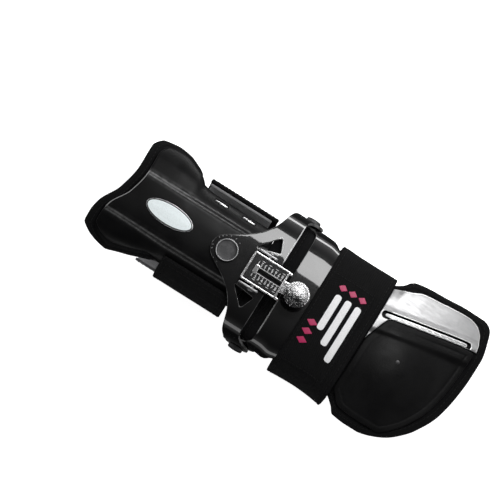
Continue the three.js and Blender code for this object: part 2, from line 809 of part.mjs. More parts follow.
function makeDialFrame() {
  const body = block(dialLength, dialWidth, dialHeight, dialX, dialY, dialFloorZ + dialHeight / 2);
  const frontX = dialX + dialLength / 2;
  const tongueLength = knobX - frontX + 1;
  const tongue = block(tongueLength, tongueWidth, dialFloor, frontX - 1 + tongueLength / 2, dialY,
    dialFloorZ + dialFloor / 2);
  const round = turned(
    [[0, 0], [tongueWidth / 2, 0], [tongueWidth / 2, dialFloor], [0, dialFloor]],
    20, knobX, dialY, dialFloorZ);
  const lugs = sides.map(({ sign }) => (
    block(cornerLug + 1, cornerLug, dialHeight - 2, frontX + (cornerLug - 1) / 2,
      dialY + sign * (dialWidth - cornerLug) / 2, dialFloorZ + (dialHeight - 2) / 2)));
  const inside = block(dialLength - 2 * dialWall, dialWidth - 2 * dialWall, dialHeight, dialX, dialY,
    dialFloorZ + dialFloor + dialHeight / 2);
  const slot = block(slotLength, slotWidth, 3 * dialFloor, slotCentreX, dialY, dialFloorZ);
  const studBore = turned(
    [[0, -3], [knobStudDiameter / 2 + clearance, -3], [knobStudDiameter / 2 + clearance, 3], [0, 3]],
    16, knobX, dialY, dialFloorZ);
  const pinBore = crossPin(trunnionDiameter + 2 * clearance, dialY - dialWidth, dialY + dialWidth,
    trunnionX, trunnionZ, 12);
  return combine(body, [tongue, round, ...lugs], [inside, slot, studBore, pinBore]);
}

function makeScalePlate() {
  const fit = 2 * (dialWall + clearance);
  const plate = block(dialLength - fit, dialWidth - fit, scaleThickness, dialX, dialY,
    scaleTopZ - scaleThickness / 2);
  const slot = block(slotLength, slotWidth, 3 * scaleThickness, slotCentreX, dialY, scaleTopZ);
  return combine(plate, [], [slot]);
}

const linkTopZ = dialFloorZ - 2 * clearance;

function makePointer() {
  const headZ = scaleTopZ + clearance + pointerHeadThickness / 2;
  const head = block(pointerLength, pointerHeadWidth, pointerHeadThickness, pointerX, dialY, headZ);
  const stemBottom = linkTopZ + clearance;
  const stem = block(pointerLength, slotWidth - 2 * clearance, headZ - stemBottom,
    pointerX, dialY, (headZ + stemBottom) / 2);
  return combine(head, [stem], []);
}

const handPlateTopZ = handTopZ + seatGap + handPlateThickness;
const lugTopZ = handPlateTopZ + lugHeight;

function makeAdjusterLink() {
  const rearX = pointerX - pointerLength / 2;
  const length = linkEndX - rearX;
  const bar = block(length, linkWidth, linkThickness, rearX + length / 2, dialY,
    linkTopZ - linkThickness / 2);
  const footHeight = linkTopZ - linkThickness / 2 - lugTopZ - clearance;
  const foot = block(linkFoot, linkWidth, footHeight, linkEndX - linkFoot / 2, dialY,
    lugTopZ + clearance + footHeight / 2);
  return combine(bar, [foot], []);
}

function makeThumbKnob() {
  const radius = knobDiameter / 2;
  const stud = knobStudDiameter / 2;
  const profile = [
    [0, -dialFloor - clearance], [stud, -dialFloor - clearance], [stud, 0], [radius - 1, 0],
    [radius, 0.8], [radius, 3.4], [radius - 0.8, 4.2], [radius * 0.8, 5.4],
    [radius * 0.55, 6.5], [radius * 0.28, 7.1], [0, knobHeight],
  ];
  return turned(profile, 32, knobX, dialY, tongueTopZ + clearance);
}

add('dial_frame', makeDialFrame(), 'steel');
add('scale_plate', makeScalePlate(), 'darkMetal');
add('pointer', makePointer(), 'chrome');
add('adjuster_link', makeAdjusterLink(), 'steel');
add('thumb_knob', makeThumbKnob(), 'chrome');

// Hand: the pad's outline and arch
const handAlong = (x) => (x - handRearX) / handLength;
const handPinky = curve(handSides, 'along', 'pinky');
const handThumb = curve(handSides, 'along', 'thumb');
const handFall = curve(handSides, 'along', 'drop');
const handSagging = curve(handSides, 'along', 'sag');
const handFront = curve(handFrontEdge, 'across', 'reach');
const handArch = {
  pinky: (x) => handHalfWidth * handPinky(handAlong(x)),
  thumb: (x) => handHalfWidth * handThumb(handAlong(x)),
  drop: (x) => handDrop * handFall(handAlong(x)),
  top: (x) => handTopZ - handSag * handSagging(handAlong(x)),
  power: handPower,
};

function makeHandPad() {
  const shares = bothSides([0.28, 0.5, 0.68, 0.82, 0.91, 0.965, 0.992]);
  shares.splice(shares.length / 2, 0, 0);
  const spots = (t) => shares.map((share) => {
    const frontX = handRearX + handLength * handFront(share);
    const x = THREE.MathUtils.lerp(handPadRearX, frontX, t);
    return { x, y: share * halfAt(handArch, x, share) };
  });
  return layer(handArch, 24, spots, () => -handPadThickness, () => 0);
}

function makeHandPlate() {
  const shares = bothSides([0.3, 0.55, 0.75, 0.87, 0.94, 0.975, 0.99]);
  shares.splice(shares.length / 2, 0, 0);
  const spots = (t) => shares.map((share) => {
    const x = THREE.MathUtils.lerp(handPlateRearX, handPlateFrontX, t);
    const trim = 1 - handPlateTrim * smoothstep(bandRearX - 8, bandRearX - 1, x);
    return { x, y: share * trim * halfAt(handArch, x, share) };
  });
  const low = () => seatGap;
  const high = () => seatGap + handPlateThickness;
  const plate = layer(handArch, 10, spots, low, high);
  const lug = block(lugLength, linkWidth, lugHeight + handPlateThickness, linkEndX - linkFoot / 2, dialY,
    lugTopZ - (lugHeight + handPlateThickness) / 2);
  const added = [lug];
  const cut = [];
  sides.forEach(({ sign }) => {
    const inner = sign * handWall(sign);
    const outer = inner + sign * handPlateThickness;
    added.push(...ear(handEarRadius, hingeX - handEarRadius / 2, hingeX + handEarNeck,
      hingeZ + handEarRadius, inner, outer));
    cut.push(crossPin(screwDiameter + 2 * clearance, inner - sign * 3, outer + sign * 3, hingeX, hingeZ, 16));
  });
  return combine(plate, added, cut);
}

function makeHandBand() {
  const lift = seatGap + handPlateThickness + 2 * clearance + bandThickness / 2;
  const floor = bandThickness / 2;
  const shares = bothSides([0.25, 0.5, 0.7, 0.84, 0.93, 0.98]);
  shares.splice(shares.length / 2, 0, 0);
  const cornerSteps = [0, 0.25, 0.5, 0.75, 1];
  const lineAt = (x) => {
    const line = shares.map((share) => archPoint(handArch, x, share * halfAt(handArch, x, share),
      lift).setX(x));
    const side = (sign) => halfAt(handArch, x, sign) + lift + bandSideBulge;
    const corner = (sign, share) => {
      const angle = (share * Math.PI) / 2;
      const y = side(sign) - bandCornerRadius * (1 - Math.cos(angle));
      return new THREE.Vector3(x, sign * y, floor + bandCornerRadius * (1 - Math.sin(angle)));
    };
    const upright = (sign) => new THREE.Vector3(x, sign * (side(sign) - bandSideBulge / 4),
      floor + bandCornerRadius + bandUprightRun);
    line.push(upright(1), ...cornerSteps.map((share) => corner(1, share)));
    line.push(new THREE.Vector3(x, 0, floor));
    line.push(...cornerSteps.slice().reverse().map((share) => corner(-1, share)), upright(-1));
    return line;
  };
  return strapSolid(stations(5, bandRearX, bandFrontX), lineAt, bandThickness, true);
}

// Fingers: rail, index plate over it and the knuckle cover beside it
const fingerAlong = (x) => (x - fingerRearX) / (fingerFrontX - fingerRearX);
const railReach = curve(railEdge, 'along', 'reach');
const indexReach = curve(indexEdge, 'along', 'reach');
const railEdgeY = (x) => handHalfWidth * railReach(THREE.MathUtils.clamp(fingerAlong(x), 0, 1));
const coverEdgeY = (x) => {
  const left = THREE.MathUtils.clamp(1 - (x - fingerRearX) / coverCornerRun, 0, 1);
  return railEdgeY(x) - coverCornerDepth * left ** coverCornerPower;
};
const indexEdgeY = (x) => handHalfWidth * indexReach(THREE.MathUtils.clamp(fingerAlong(x), 0, 1));
const railTop = clearance + railThickness;

function overRail(x, y) {
  const from = railEdgeY(x) - railUnder - railRamp;
  const to = railEdgeY(x) + railWidth - railUnder + 1;
  const rise = smoothstep(from - 4, from, y) * (1 - smoothstep(to, to + 5, y));
  return clearance + railTop * rise;
}

function makeFingerRail() {
  const across = stations(4, 0, 1);
  const spots = (t) => across.map((share) => {
    const x = THREE.MathUtils.lerp(railRearX, indexSlotFrontX + 3, t);
    return { x, y: railEdgeY(x) - railUnder + railWidth * share };
  });
  return layer(handArch, 8, spots, () => clearance, () => railTop);
}

function makeIndexPlate() {
  const across = [0, 0.12, 0.3, 0.5, 0.7, 0.87, 1];
  const along = [0, 0.033, 0.066, 0.089, 0.13, 0.2, 0.27, 0.38, 0.5, 0.62, 0.74, 0.82, 0.88, 0.93, 0.965,
    0.985, 1];
  const spots = (t) => across.map((share) => {
    const x = THREE.MathUtils.lerp(fingerRearX, fingerFrontX, along[Math.round(t * (along.length - 1))]);
    const fromY = coverEdgeY(x) + 3 * clearance;
    return { x, y: THREE.MathUtils.lerp(fromY, indexEdgeY(x), share) };
  });
  const high = (x, y) => overRail(x, y) + indexPlateThickness;
  const plate = layer(handArch, along.length - 1, spots, overRail, high);
  const slotPlaces = stations(6, indexSlotRearX, indexSlotFrontX);
  const round = indexSlotWidth / 2;
  const outer = slotPlaces.map((x) => [x, railEdgeY(x) + indexSlotWidth]);
  const inner = slotPlaces.slice().reverse().map((x) => [x, railEdgeY(x)]);
  const roundEnd = (x, sign) => [45, 90, 135].map((degrees) => {
    const angle = THREE.MathUtils.degToRad(degrees);
    return [x + sign * round * Math.sin(angle), railEdgeY(x) + round * (1 + sign * Math.cos(angle))];
  });
  const slot = polygon([...outer, ...roundEnd(indexSlotFrontX, 1), ...inner,
    ...roundEnd(indexSlotRearX, -1)]);
  return combine(plate, [], [prism(slot, 30, handTopZ - 20)]);
}

function domeRaise(x, y) {
  const share = ((x - domeX) / domeRadiusX) ** 2 + ((y - domeY) / domeRadiusY) ** 2;
  return share < 1 ? domeHeight * (1 - share) ** 2 : 0;
}

function makeKnuckleCover() {
  const across = [0, 0.06, 0.16, 0.28, 0.4, 0.52, 0.64, 0.76, 0.87, 0.95, 1];
  const rearX = bandFrontX + coverGap;
  const spots = (t) => across.map((share) => {
    const nominal = THREE.MathUtils.lerp(-0.86, 0.54, share);
    const frontX = handRearX + handLength * handFront(nominal) - coverMargin;
    const x = THREE.MathUtils.lerp(rearX, frontX, t);
    const fromY = -(handArch.pinky(x) - coverMargin);
    return { x, y: THREE.MathUtils.lerp(fromY, coverEdgeY(x), share) };
  });
  const low = (x, y) => overRail(x, y) + domeRaise(x, y);
  const high = (x, y) => low(x, y) + coverThickness;
  return layer(handArch, 11, spots, low, high);
}

add('hand_pad', makeHandPad(), 'foam');
add('hand_plate', makeHandPlate(), 'paint');
add('hand_band', makeHandBand(), 'webbing');
add('finger_rail', makeFingerRail(), 'steel');
add('index_plate', makeIndexPlate(), 'steel');
add('knuckle_cover', makeKnuckleCover(), 'leather');

// The part stands on the flattened undersides of its strap and band, with its box centred
const box = new THREE.Box3().setFromObject(group);
const centre = box.getCenter(new THREE.Vector3());
group.position.set(-centre.x, -centre.y, -box.min.z);

export default group;
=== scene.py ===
"""Looks of a bowling wrist positioner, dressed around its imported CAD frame.

Lengths here are millimetres, as in the part's source, and place() turns them into the frame's metres.
+X runs to the fingers, +Y is the thumb side, +Z is up.
"""

import math

import bpy
import numpy as np
from mathutils import Matrix, Vector
from mathutils.geometry import delaunay_2d_cdt


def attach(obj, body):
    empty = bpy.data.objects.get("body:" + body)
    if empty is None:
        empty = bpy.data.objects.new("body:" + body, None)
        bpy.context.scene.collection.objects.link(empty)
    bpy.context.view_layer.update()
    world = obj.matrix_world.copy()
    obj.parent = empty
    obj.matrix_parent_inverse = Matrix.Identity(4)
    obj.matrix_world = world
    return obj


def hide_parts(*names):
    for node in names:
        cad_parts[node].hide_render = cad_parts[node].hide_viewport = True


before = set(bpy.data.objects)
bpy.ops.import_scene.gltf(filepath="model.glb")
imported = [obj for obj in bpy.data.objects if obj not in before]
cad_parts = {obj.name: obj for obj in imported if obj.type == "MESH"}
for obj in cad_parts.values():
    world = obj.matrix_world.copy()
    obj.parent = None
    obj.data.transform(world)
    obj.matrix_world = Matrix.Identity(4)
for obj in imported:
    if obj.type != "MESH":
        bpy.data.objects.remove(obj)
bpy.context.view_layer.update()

# The part's source is centred by this much when it is built
SHIFT = np.array([-0.2148, -0.4375, 0.0])

# How far a cloth's outline stays inside its sheet
EDGE = 0.05

# Sizes shared with the part's source
CLEARANCE = 0.3
SEAT = 0.5
HINGE_X, HINGE_Z = -7.0, 36.0
FOREARM_FRONT, FOREARM_LENGTH, FOREARM_HALF = -24.0, 120.0, 48.0
FOREARM_TOP, FOREARM_DROP, FOREARM_POWER = 60.0, 24.0, 2.6
PAD_THICKNESS = 4.5
PLATE_THICKNESS = 1.8
PLATE_INSET, PLATE_BORDER, PLATE_SIDE_GAP = 7.5, 5.5, 2.0
PANEL_HALF, PANEL_SLOPE, PANEL_RAISE = 15.5, 4.5, 3.0
PANEL_TOP = FOREARM_TOP + SEAT + PANEL_RAISE + PLATE_THICKNESS
PIVOT_X = -48.0
HAND_REAR, HAND_LENGTH, HAND_HALF = -8.0, 152.0, 58.8
HAND_TOP, HAND_DROP, HAND_POWER, HAND_SAG = 56.5, 20.5, 3.0, 7.0
HAND_PLATE = 1.6
HAND_PLATE_FRONT = 58.0
HAND_PAD_REAR = -11.5
WALL_INNER = {-1: HAND_HALF * 0.764 + CLEARANCE, 1: HAND_HALF * 0.82 + CLEARANCE}
YOKE_HALF = {sign: wall + HAND_PLATE + 0.5 for sign, wall in WALL_INNER.items()}
YOKE_BOTTOM = PANEL_TOP + CLEARANCE
YOKE_THICKNESS = 2.0
YOKE_TOP = YOKE_BOTTOM + YOKE_THICKNESS
YOKE_POWER = 3.4
DIAL_X, DIAL_Y, DIAL_LENGTH, DIAL_WIDTH, DIAL_HEIGHT = -16.6, -1.5, 28.4, 21.7, 7.0
DIAL_FLOOR_Z = YOKE_TOP + 5.0
DIAL_FLOOR = 1.4
DIAL_WALL = 1.3
DIAL_TOP = DIAL_FLOOR_Z + DIAL_HEIGHT
SCALE_TOP = DIAL_TOP - 1.0
TRUNNION_X = -20.0
TRUNNION_Z = DIAL_FLOOR_Z + 3.5
KNOB_X, KNOB_RADIUS = 9.2, 9.3
FINGER_REAR, FINGER_FRONT = 65.3, 137.0
BAND_REAR, BAND_FRONT = 20.0, 64.5
BAND_THICKNESS = 2.2
COVER_MARGIN = 8.0

# Outlines, as in the part's source: place along, then share
FOREARM_PINKY = [
    (0, 0.645), (0.44, 0.635), (0.51, 0.63), (0.56, 0.67), (0.61, 0.71),
    (0.67, 0.76), (0.74, 0.81), (0.81, 0.86), (1, 0.88),
]
FOREARM_THUMB = [
    (0, 0.645), (0.44, 0.665), (0.51, 0.7), (0.56, 0.85), (0.61, 0.92),
    (0.67, 0.98), (0.74, 1.005), (0.81, 1.01), (1, 0.985),
]
FOREARM_FALL = [
    (0, 0.67), (0.44, 0.67), (0.51, 0.72), (0.56, 0.8), (0.61, 0.86),
    (0.67, 0.92), (0.74, 0.97), (0.81, 1), (1, 1),
]
FOREARM_REAR = [
    (-1, 0.8), (-0.97, 0.875), (-0.9, 0.945), (-0.78, 0.993), (-0.6, 0.995), (-0.4, 0.984),
    (0, 0.917), (0.4, 0.888), (0.78, 0.893), (0.94, 0.858), (1, 0.745),
]
HAND_PINKY = [
    (0, 0.764), (0.09, 0.768), (0.14, 0.785), (0.19, 0.76), (0.33, 0.745), (0.46, 0.775),
    (0.51, 0.87), (0.54, 0.962), (0.62, 0.985), (0.72, 0.985), (0.82, 0.982), (1, 0.978),
]
HAND_THUMB = [
    (0, 0.82), (0.09, 0.82), (0.14, 0.81), (0.19, 0.775), (0.33, 0.764), (0.46, 0.765),
    (0.51, 0.83), (0.54, 0.922), (0.62, 0.962), (0.72, 0.978), (0.82, 1), (1, 1),
]
HAND_FALL = [
    (0, 1), (0.09, 0.99), (0.14, 0.93), (0.19, 0.85), (0.33, 0.78), (0.46, 0.69),
    (0.51, 0.61), (0.54, 0.5), (0.62, 0.43), (0.72, 0.38), (0.82, 0.35), (1, 0.33),
]
HAND_SAGGING = [
    (0, 0), (0.33, 0), (0.46, 0.02), (0.51, 0.04), (0.54, 0.07),
    (0.62, 0.14), (0.72, 0.3), (0.82, 0.52), (1, 1),
]
HAND_FRONT = [
    (-1, 0.655), (-0.985, 0.696), (-0.94, 0.748), (-0.856, 0.812), (-0.732, 0.866),
    (-0.605, 0.906), (-0.293, 0.965), (0.04, 0.99), (0.29, 0.998), (0.534, 0.999),
    (0.82, 0.976), (0.905, 0.964), (0.97, 0.94), (1, 0.905),
]
YOKE_REAR = [
    (0, 1.29), (0.1, 1.26), (0.18, 1.17), (0.24, 1.05), (0.37, 0.81), (0.5, 0.635),
    (0.62, 0.53), (0.73, 0.465), (0.84, 0.42), (0.92, 0.385), (0.965, 0.345), (0.99, 0.3), (0.999, 0.28),
]
YOKE_FRONT = [
    (0, 0.07), (0.84, 0.07), (0.92, 0.05), (0.965, -0.02), (0.99, -0.12), (0.999, -0.2),
]
RAIL_EDGE = [(0, 0.322), (0.5, 0.452), (0.86, 0.54), (1, 0.565)]
INDEX_EDGE = [
    (0, 0.7), (0.18, 0.785), (0.27, 0.835), (0.44, 0.86), (0.77, 0.895),
    (0.87, 0.865), (0.94, 0.795), (0.98, 0.69), (1, 0.58),
]
STRAP_RUN = [
    (-0.875, 0.78), (-0.915, 0.66), (-0.94, 0.47), (-0.89, 0.23), (-0.78, 0.08), (-0.62, 0),
    (-0.3, 0), (0, 0), (0.3, 0), (0.62, 0), (0.84, 0.08), (0.99, 0.23), (1.055, 0.47),
    (1.04, 0.66), (0.995, 0.8),
]
STRAP_HALF = FOREARM_HALF * 0.665 + 7.0
STRAP_HEIGHT = 60.0
STRAP_THICKNESS = 2.5


# Curves and surfaces


def curve(rows):
    """Smooth curve through the rows without overshoot, as the part's source draws it."""
    xs = np.array([r[0] for r in rows], float)
    ys = np.array([r[1] for r in rows], float)
    steps = np.diff(ys) / np.diff(xs)
    slopes = np.zeros(len(xs))
    slopes[0], slopes[-1] = steps[0], steps[-1]
    before, after = steps[:-1], steps[1:]
    total = np.where(before * after > 0, before + after, 1.0)
    slopes[1:-1] = np.where(before * after > 0, 2 * before * after / total, 0.0)

    def at(x):
        x = np.clip(np.asarray(x, float), xs[0], xs[-1])
        i = np.clip(np.searchsorted(xs, x, side="right") - 1, 0, len(xs) - 2)
        width = xs[i + 1] - xs[i]
        t = (x - xs[i]) / width
        rise = ys[i + 1] - ys[i]
        bend = t * (1 - t)
        return ys[i] + rise * t * t * (3 - 2 * t) + width * bend * (slopes[i] * (1 - t) - slopes[i + 1] * t)

    return at


def smoothstep(low, high, x):
    t = np.clip((np.asarray(x, float) - low) / (high - low), 0, 1)
    return t * t * (3 - 2 * t)


def side_of(share):
    """1 on the thumb side, -1 on the pinky side."""
    return 1 if share > 0 else -1


def cells(value, steps):
    """Where a value lies along evenly spaced steps, counted in steps and kept inside them."""
    return np.clip((value - steps[0]) / (steps[1] - steps[0]), 0, len(steps) - 1 - 1e-6)


def run_along(line):
    """Length along a line at each of its points."""
    return np.concatenate([[0], np.cumsum(np.linalg.norm(np.diff(line, axis=0), axis=1))])


def points_at(line, run, at):
    """The line's points at those lengths along it."""
    return np.column_stack([np.interp(at, run, line[:, k]) for k in range(line.shape[1])])


class Surface:
    """A curved sheet held as a fine grid of points: u runs along X, s across it, both in mm."""

    def __init__(self, us, ss, grid):
        self.us, self.ss, self.grid = us, ss, grid

    def at(self, u, s):
        fu, fs = cells(u, self.us), cells(s, self.ss)
        i, k = fu.astype(int), fs.astype(int)
        wu, ws = (fu - i)[:, None], (fs - k)[:, None]
        g = self.grid
        low = g[i, k] * (1 - wu) + g[i + 1, k] * wu
        high = g[i, k + 1] * (1 - wu) + g[i + 1, k + 1] * wu
        return low * (1 - ws) + high * ws

    def normal(self, u, s):
        step = 0.5
        along = self.at(u + step, s) - self.at(u - step, s)
        across = self.at(u, s + step) - self.at(u, s - step)
        n = np.cross(along, across)
        return n / np.linalg.norm(n, axis=1)[:, None]

    def s_of(self, x, y):
        """The place across the sheet where it passes over each x and y."""
        out = []
        for xi, yi in zip(np.atleast_1d(x), np.atleast_1d(y)):
            f = cells(xi, self.us)
            i = int(f)
            row = self.grid[i, :, 1] * (1 - f + i) + self.grid[i + 1, :, 1] * (f - i)
            inside = slice(int(np.argmin(row)), int(np.argmax(row)) + 1)
            out.append(np.interp(yi, row[inside], self.ss[inside]))
        return np.array(out)

    def flat(self, points):
        """Points in x and y as points in u and s."""
        points = np.asarray(points, float)
        return np.column_stack([points[:, 0], self.s_of(points[:, 0], points[:, 1])])

    def above(self, x, y, lift):
        """The point over a place in x and y, raised along the sheet's normal."""
        spot = self.flat([(x, y)])
        u, s = spot[:, 0], spot[:, 1]
        return self.at(u, s)[0] + self.normal(u, s)[0] * lift


class Plane:
    """A flat sheet from an origin and two directions."""

    def __init__(self, origin, along=(1, 0, 0), across=(0, 1, 0)):
        self.origin = np.array(origin, float)
        self.along, self.across = np.array(along, float), np.array(across, float)

    def at(self, u, s):
        return self.origin + np.outer(u, self.along) + np.outer(s, self.across)

    def normal(self, u, s):
        return np.tile(np.cross(self.along, self.across), (len(u), 1))


# How far a sheet's rows reach each way, and the share across it up to which their places are even
SHEET_REACH = 110
EVEN_SHARE = 0.9


def arch(x_range, top, drop, pinky, thumb, power, tail=0.0):
    """Sheet with a flat back that falls off to steep sides, with straight tails below them."""
    us = np.arange(x_range[0], x_range[1] + 1.0, 1.0)
    ss = np.arange(-SHEET_REACH, SHEET_REACH + 0.01, 0.25)
    steep = np.linspace(np.arcsin(EVEN_SHARE ** (power / 2)), math.pi / 2, 500)
    share = np.concatenate([np.linspace(0, EVEN_SHARE, 400, endpoint=False), np.sin(steep) ** (2 / power)])
    fall = 1 - np.clip(1 - share ** power, 0, 1) ** (1 / power)
    grid = np.zeros((len(us), len(ss), 3))
    for i, x in enumerate(us):
        grid[i, :, 0] = x
        for sign, half in ((-1, float(pinky(x))), (1, float(thumb(x)))):
            y = half * share
            z = float(top(x)) - float(drop(x)) * fall
            if tail:
                y = np.append(y, half)
                z = np.append(z, z[-1] - tail)
            run = np.concatenate([[0], np.cumsum(np.hypot(np.diff(y), np.diff(z)))])
            pick = ss * sign >= 0
            s = np.abs(ss[pick])
            grid[i, pick, 1] = sign * np.interp(s, run, y)
            grid[i, pick, 2] = np.interp(s, run, z)
            beyond = s > run[-1]
            spots = np.where(pick)[0][beyond]
            grid[i, spots, 2] = z[-1] - (s[beyond] - run[-1])
    return Surface(us, ss, grid)


def path_sheet(us, line_at):
    """Sheet along a line in YZ at each u, with s from 0 at the line's start."""
    lines = [np.array(line_at(u)) for u in us]
    runs = [run_along(line) for line in lines]
    length = float(np.mean([run[-1] for run in runs]))
    count = int(length / 0.4)
    grid = [points_at(line, run, np.linspace(0, run[-1], count + 1)) for line, run in zip(lines, runs)]
    return Surface(np.array(us, float), np.linspace(0, length, count + 1), np.array(grid))


def between(t, start, end, a, b):
    """From a at start to b at end."""
    return (end - t) / (end - start) * a + (t - start) / (end - start) * b


def spline(points, count):
    """Centripetal Catmull-Rom line through points, evenly spaced."""
    p = np.array(points, float)
    p = np.vstack([2 * p[0] - p[1], p, 2 * p[-1] - p[-2]])
    gaps = np.maximum(np.linalg.norm(np.diff(p, axis=0), axis=1), 1e-6)
    times = np.concatenate([[0], np.cumsum(gaps ** 0.5)])
    out = []
    for i in range(1, len(p) - 2):
        a, b, c, d = p[i - 1:i + 3]
        t0, t1, t2, t3 = times[i - 1:i + 3] - times[i - 1]
        for t in np.linspace(t1, t2, 24, endpoint=False):
            a1, a2, a3 = between(t, t0, t1, a, b), between(t, t1, t2, b, c), between(t, t2, t3, c, d)
            b1, b2 = between(t, t0, t2, a1, a2), between(t, t1, t3, a2, a3)
            out.append(between(t, t1, t2, b1, b2))
    out = np.array([*out, p[-2]])
    run = run_along(out)
    return points_at(out, run, np.linspace(0, run[-1], count + 1))


def place(points):
    """Millimetres of the part's source to the frame's metres."""
    return (np.asarray(points, float) + SHIFT) / 1000


# Outlines in the sheet's own plane


def thin(points, least):
    """The points without those closer than that to the last one kept."""
    keep = [0]
    for i in range(1, len(points)):
        if np.linalg.norm(points[i] - points[keep[-1]]) > least:
            keep.append(i)
    return points[keep]


def resample(loop, step):
    """Evenly spaced points round a closed loop, with its sharp corners kept."""
    loop = np.asarray(loop, float)
    out = []
    for a, b in zip(loop, np.roll(loop, -1, axis=0)):
        parts = max(1, int(round(np.linalg.norm(b - a) / step)))
        out.extend(a + (b - a) * t for t in np.arange(parts) / parts)
    kept = thin(np.array(out), step * 0.35)
    return kept[:-1] if np.linalg.norm(kept[-1] - kept[0]) < step * 0.35 else kept


def area(loop):
    x, y = loop[:, 0], loop[:, 1]
    return 0.5 * np.sum(x * np.roll(y, -1) - np.roll(x, -1) * y)


def rounded(corners, radii, parts=6):
    """A polygon with its corners rounded."""
    corners = np.asarray(corners, float)
    n = len(corners)
    radii = [radii] * n if np.isscalar(radii) else radii
    out = []
    for i in range(n):
        p, a, b = corners[i], corners[i - 1], corners[(i + 1) % n]
        u, v = (a - p) / np.linalg.norm(a - p), (b - p) / np.linalg.norm(b - p)
        half = math.acos(np.clip(u @ v, -1, 1)) / 2
        cut = min(radii[i] / math.tan(half), 0.49 * np.linalg.norm(a - p), 0.49 * np.linalg.norm(b - p))
        if radii[i] <= 0 or cut < 1e-3:
            out.append(p)
            continue
        start, end = p + u * cut, p + v * cut
        for t in np.linspace(0, 1, parts + 1):
            out.append((1 - t) ** 2 * start + 2 * t * (1 - t) * p + t ** 2 * end)
    return np.array(out)


def rectangle(u0, u1, s0, s1, radius=0.0, parts=5):
    return rounded([(u0, s0), (u1, s0), (u1, s1), (u0, s1)], radius, parts)


def circle(x, y, radius, count=40):
    a = np.linspace(0, 2 * math.pi, count, endpoint=False)
    return np.column_stack([x + radius * np.cos(a), y + radius * np.sin(a)])


# Points looked at in one go against all edges of a loop
CHUNK = 2000


def distance(points, loops):
    """Distance from each point to the nearest edge of any loop."""
    best = np.full(len(points), 1e9)
    for loop in loops:
        a, b = loop, np.roll(loop, -1, axis=0)
        for start in range(0, len(points), CHUNK):
            p = points[start:start + CHUNK]
            ab = b - a
            t = np.clip(((p[:, None] - a) * ab).sum(2) / np.maximum((ab * ab).sum(1), 1e-12), 0, 1)
            gap = np.linalg.norm(p[:, None] - (a + t[:, :, None] * ab), axis=2).min(1)
            best[start:start + CHUNK] = np.minimum(best[start:start + CHUNK], gap)
    return best


def inside(points, loop):
    """Which points lie in a closed loop."""
    a, b = loop, np.roll(loop, -1, axis=0)
    result = np.zeros(len(points), bool)
    for start in range(0, len(points), CHUNK):
        p = points[start:start + CHUNK]
        crosses = (a[:, 1] > p[:, None, 1]) != (b[:, 1] > p[:, None, 1])
        rise = np.where(b[:, 1] == a[:, 1], 1e-12, b[:, 1] - a[:, 1])
        at = a[:, 0] + (p[:, None, 1] - a[:, 1]) * (b[:, 0] - a[:, 0]) / rise
        result[start:start + CHUNK] = (crosses & (p[:, None, 0] < at)).sum(1) % 2 == 1
    return result


def in_sheet(points, loops):
    """Which points lie in the first loop and in none of the others."""
    result = inside(points, loops[0])
    for hole in loops[1:]:
        result &= ~inside(points, hole)
    return result


def inset_ring(loop, gap, inward):
    """The loop moved inwards by gap, on the side that inward (1 or -1) says."""
    before, after = np.roll(loop, 1, axis=0), np.roll(loop, -1, axis=0)
    run = after - before
    run /= np.maximum(np.linalg.norm(run, axis=1), 1e-9)[:, None]
    normal = np.column_stack([-run[:, 1], run[:, 0]]) * inward
    return loop + normal * gap


def bullnose(gap, radius):
    """How far a rounded edge lies below its top, at each distance from the outline."""
    t = np.clip(1 - gap / max(radius, 1e-6), 0, 1)
    return radius * (1 - np.sqrt(np.clip(1 - t * t, 0, 1)))


# Shares of an edge's radius at which a line of vertices runs
ROUND_STEPS = (0.05, 0.2, 0.45, 0.75, 1.0)


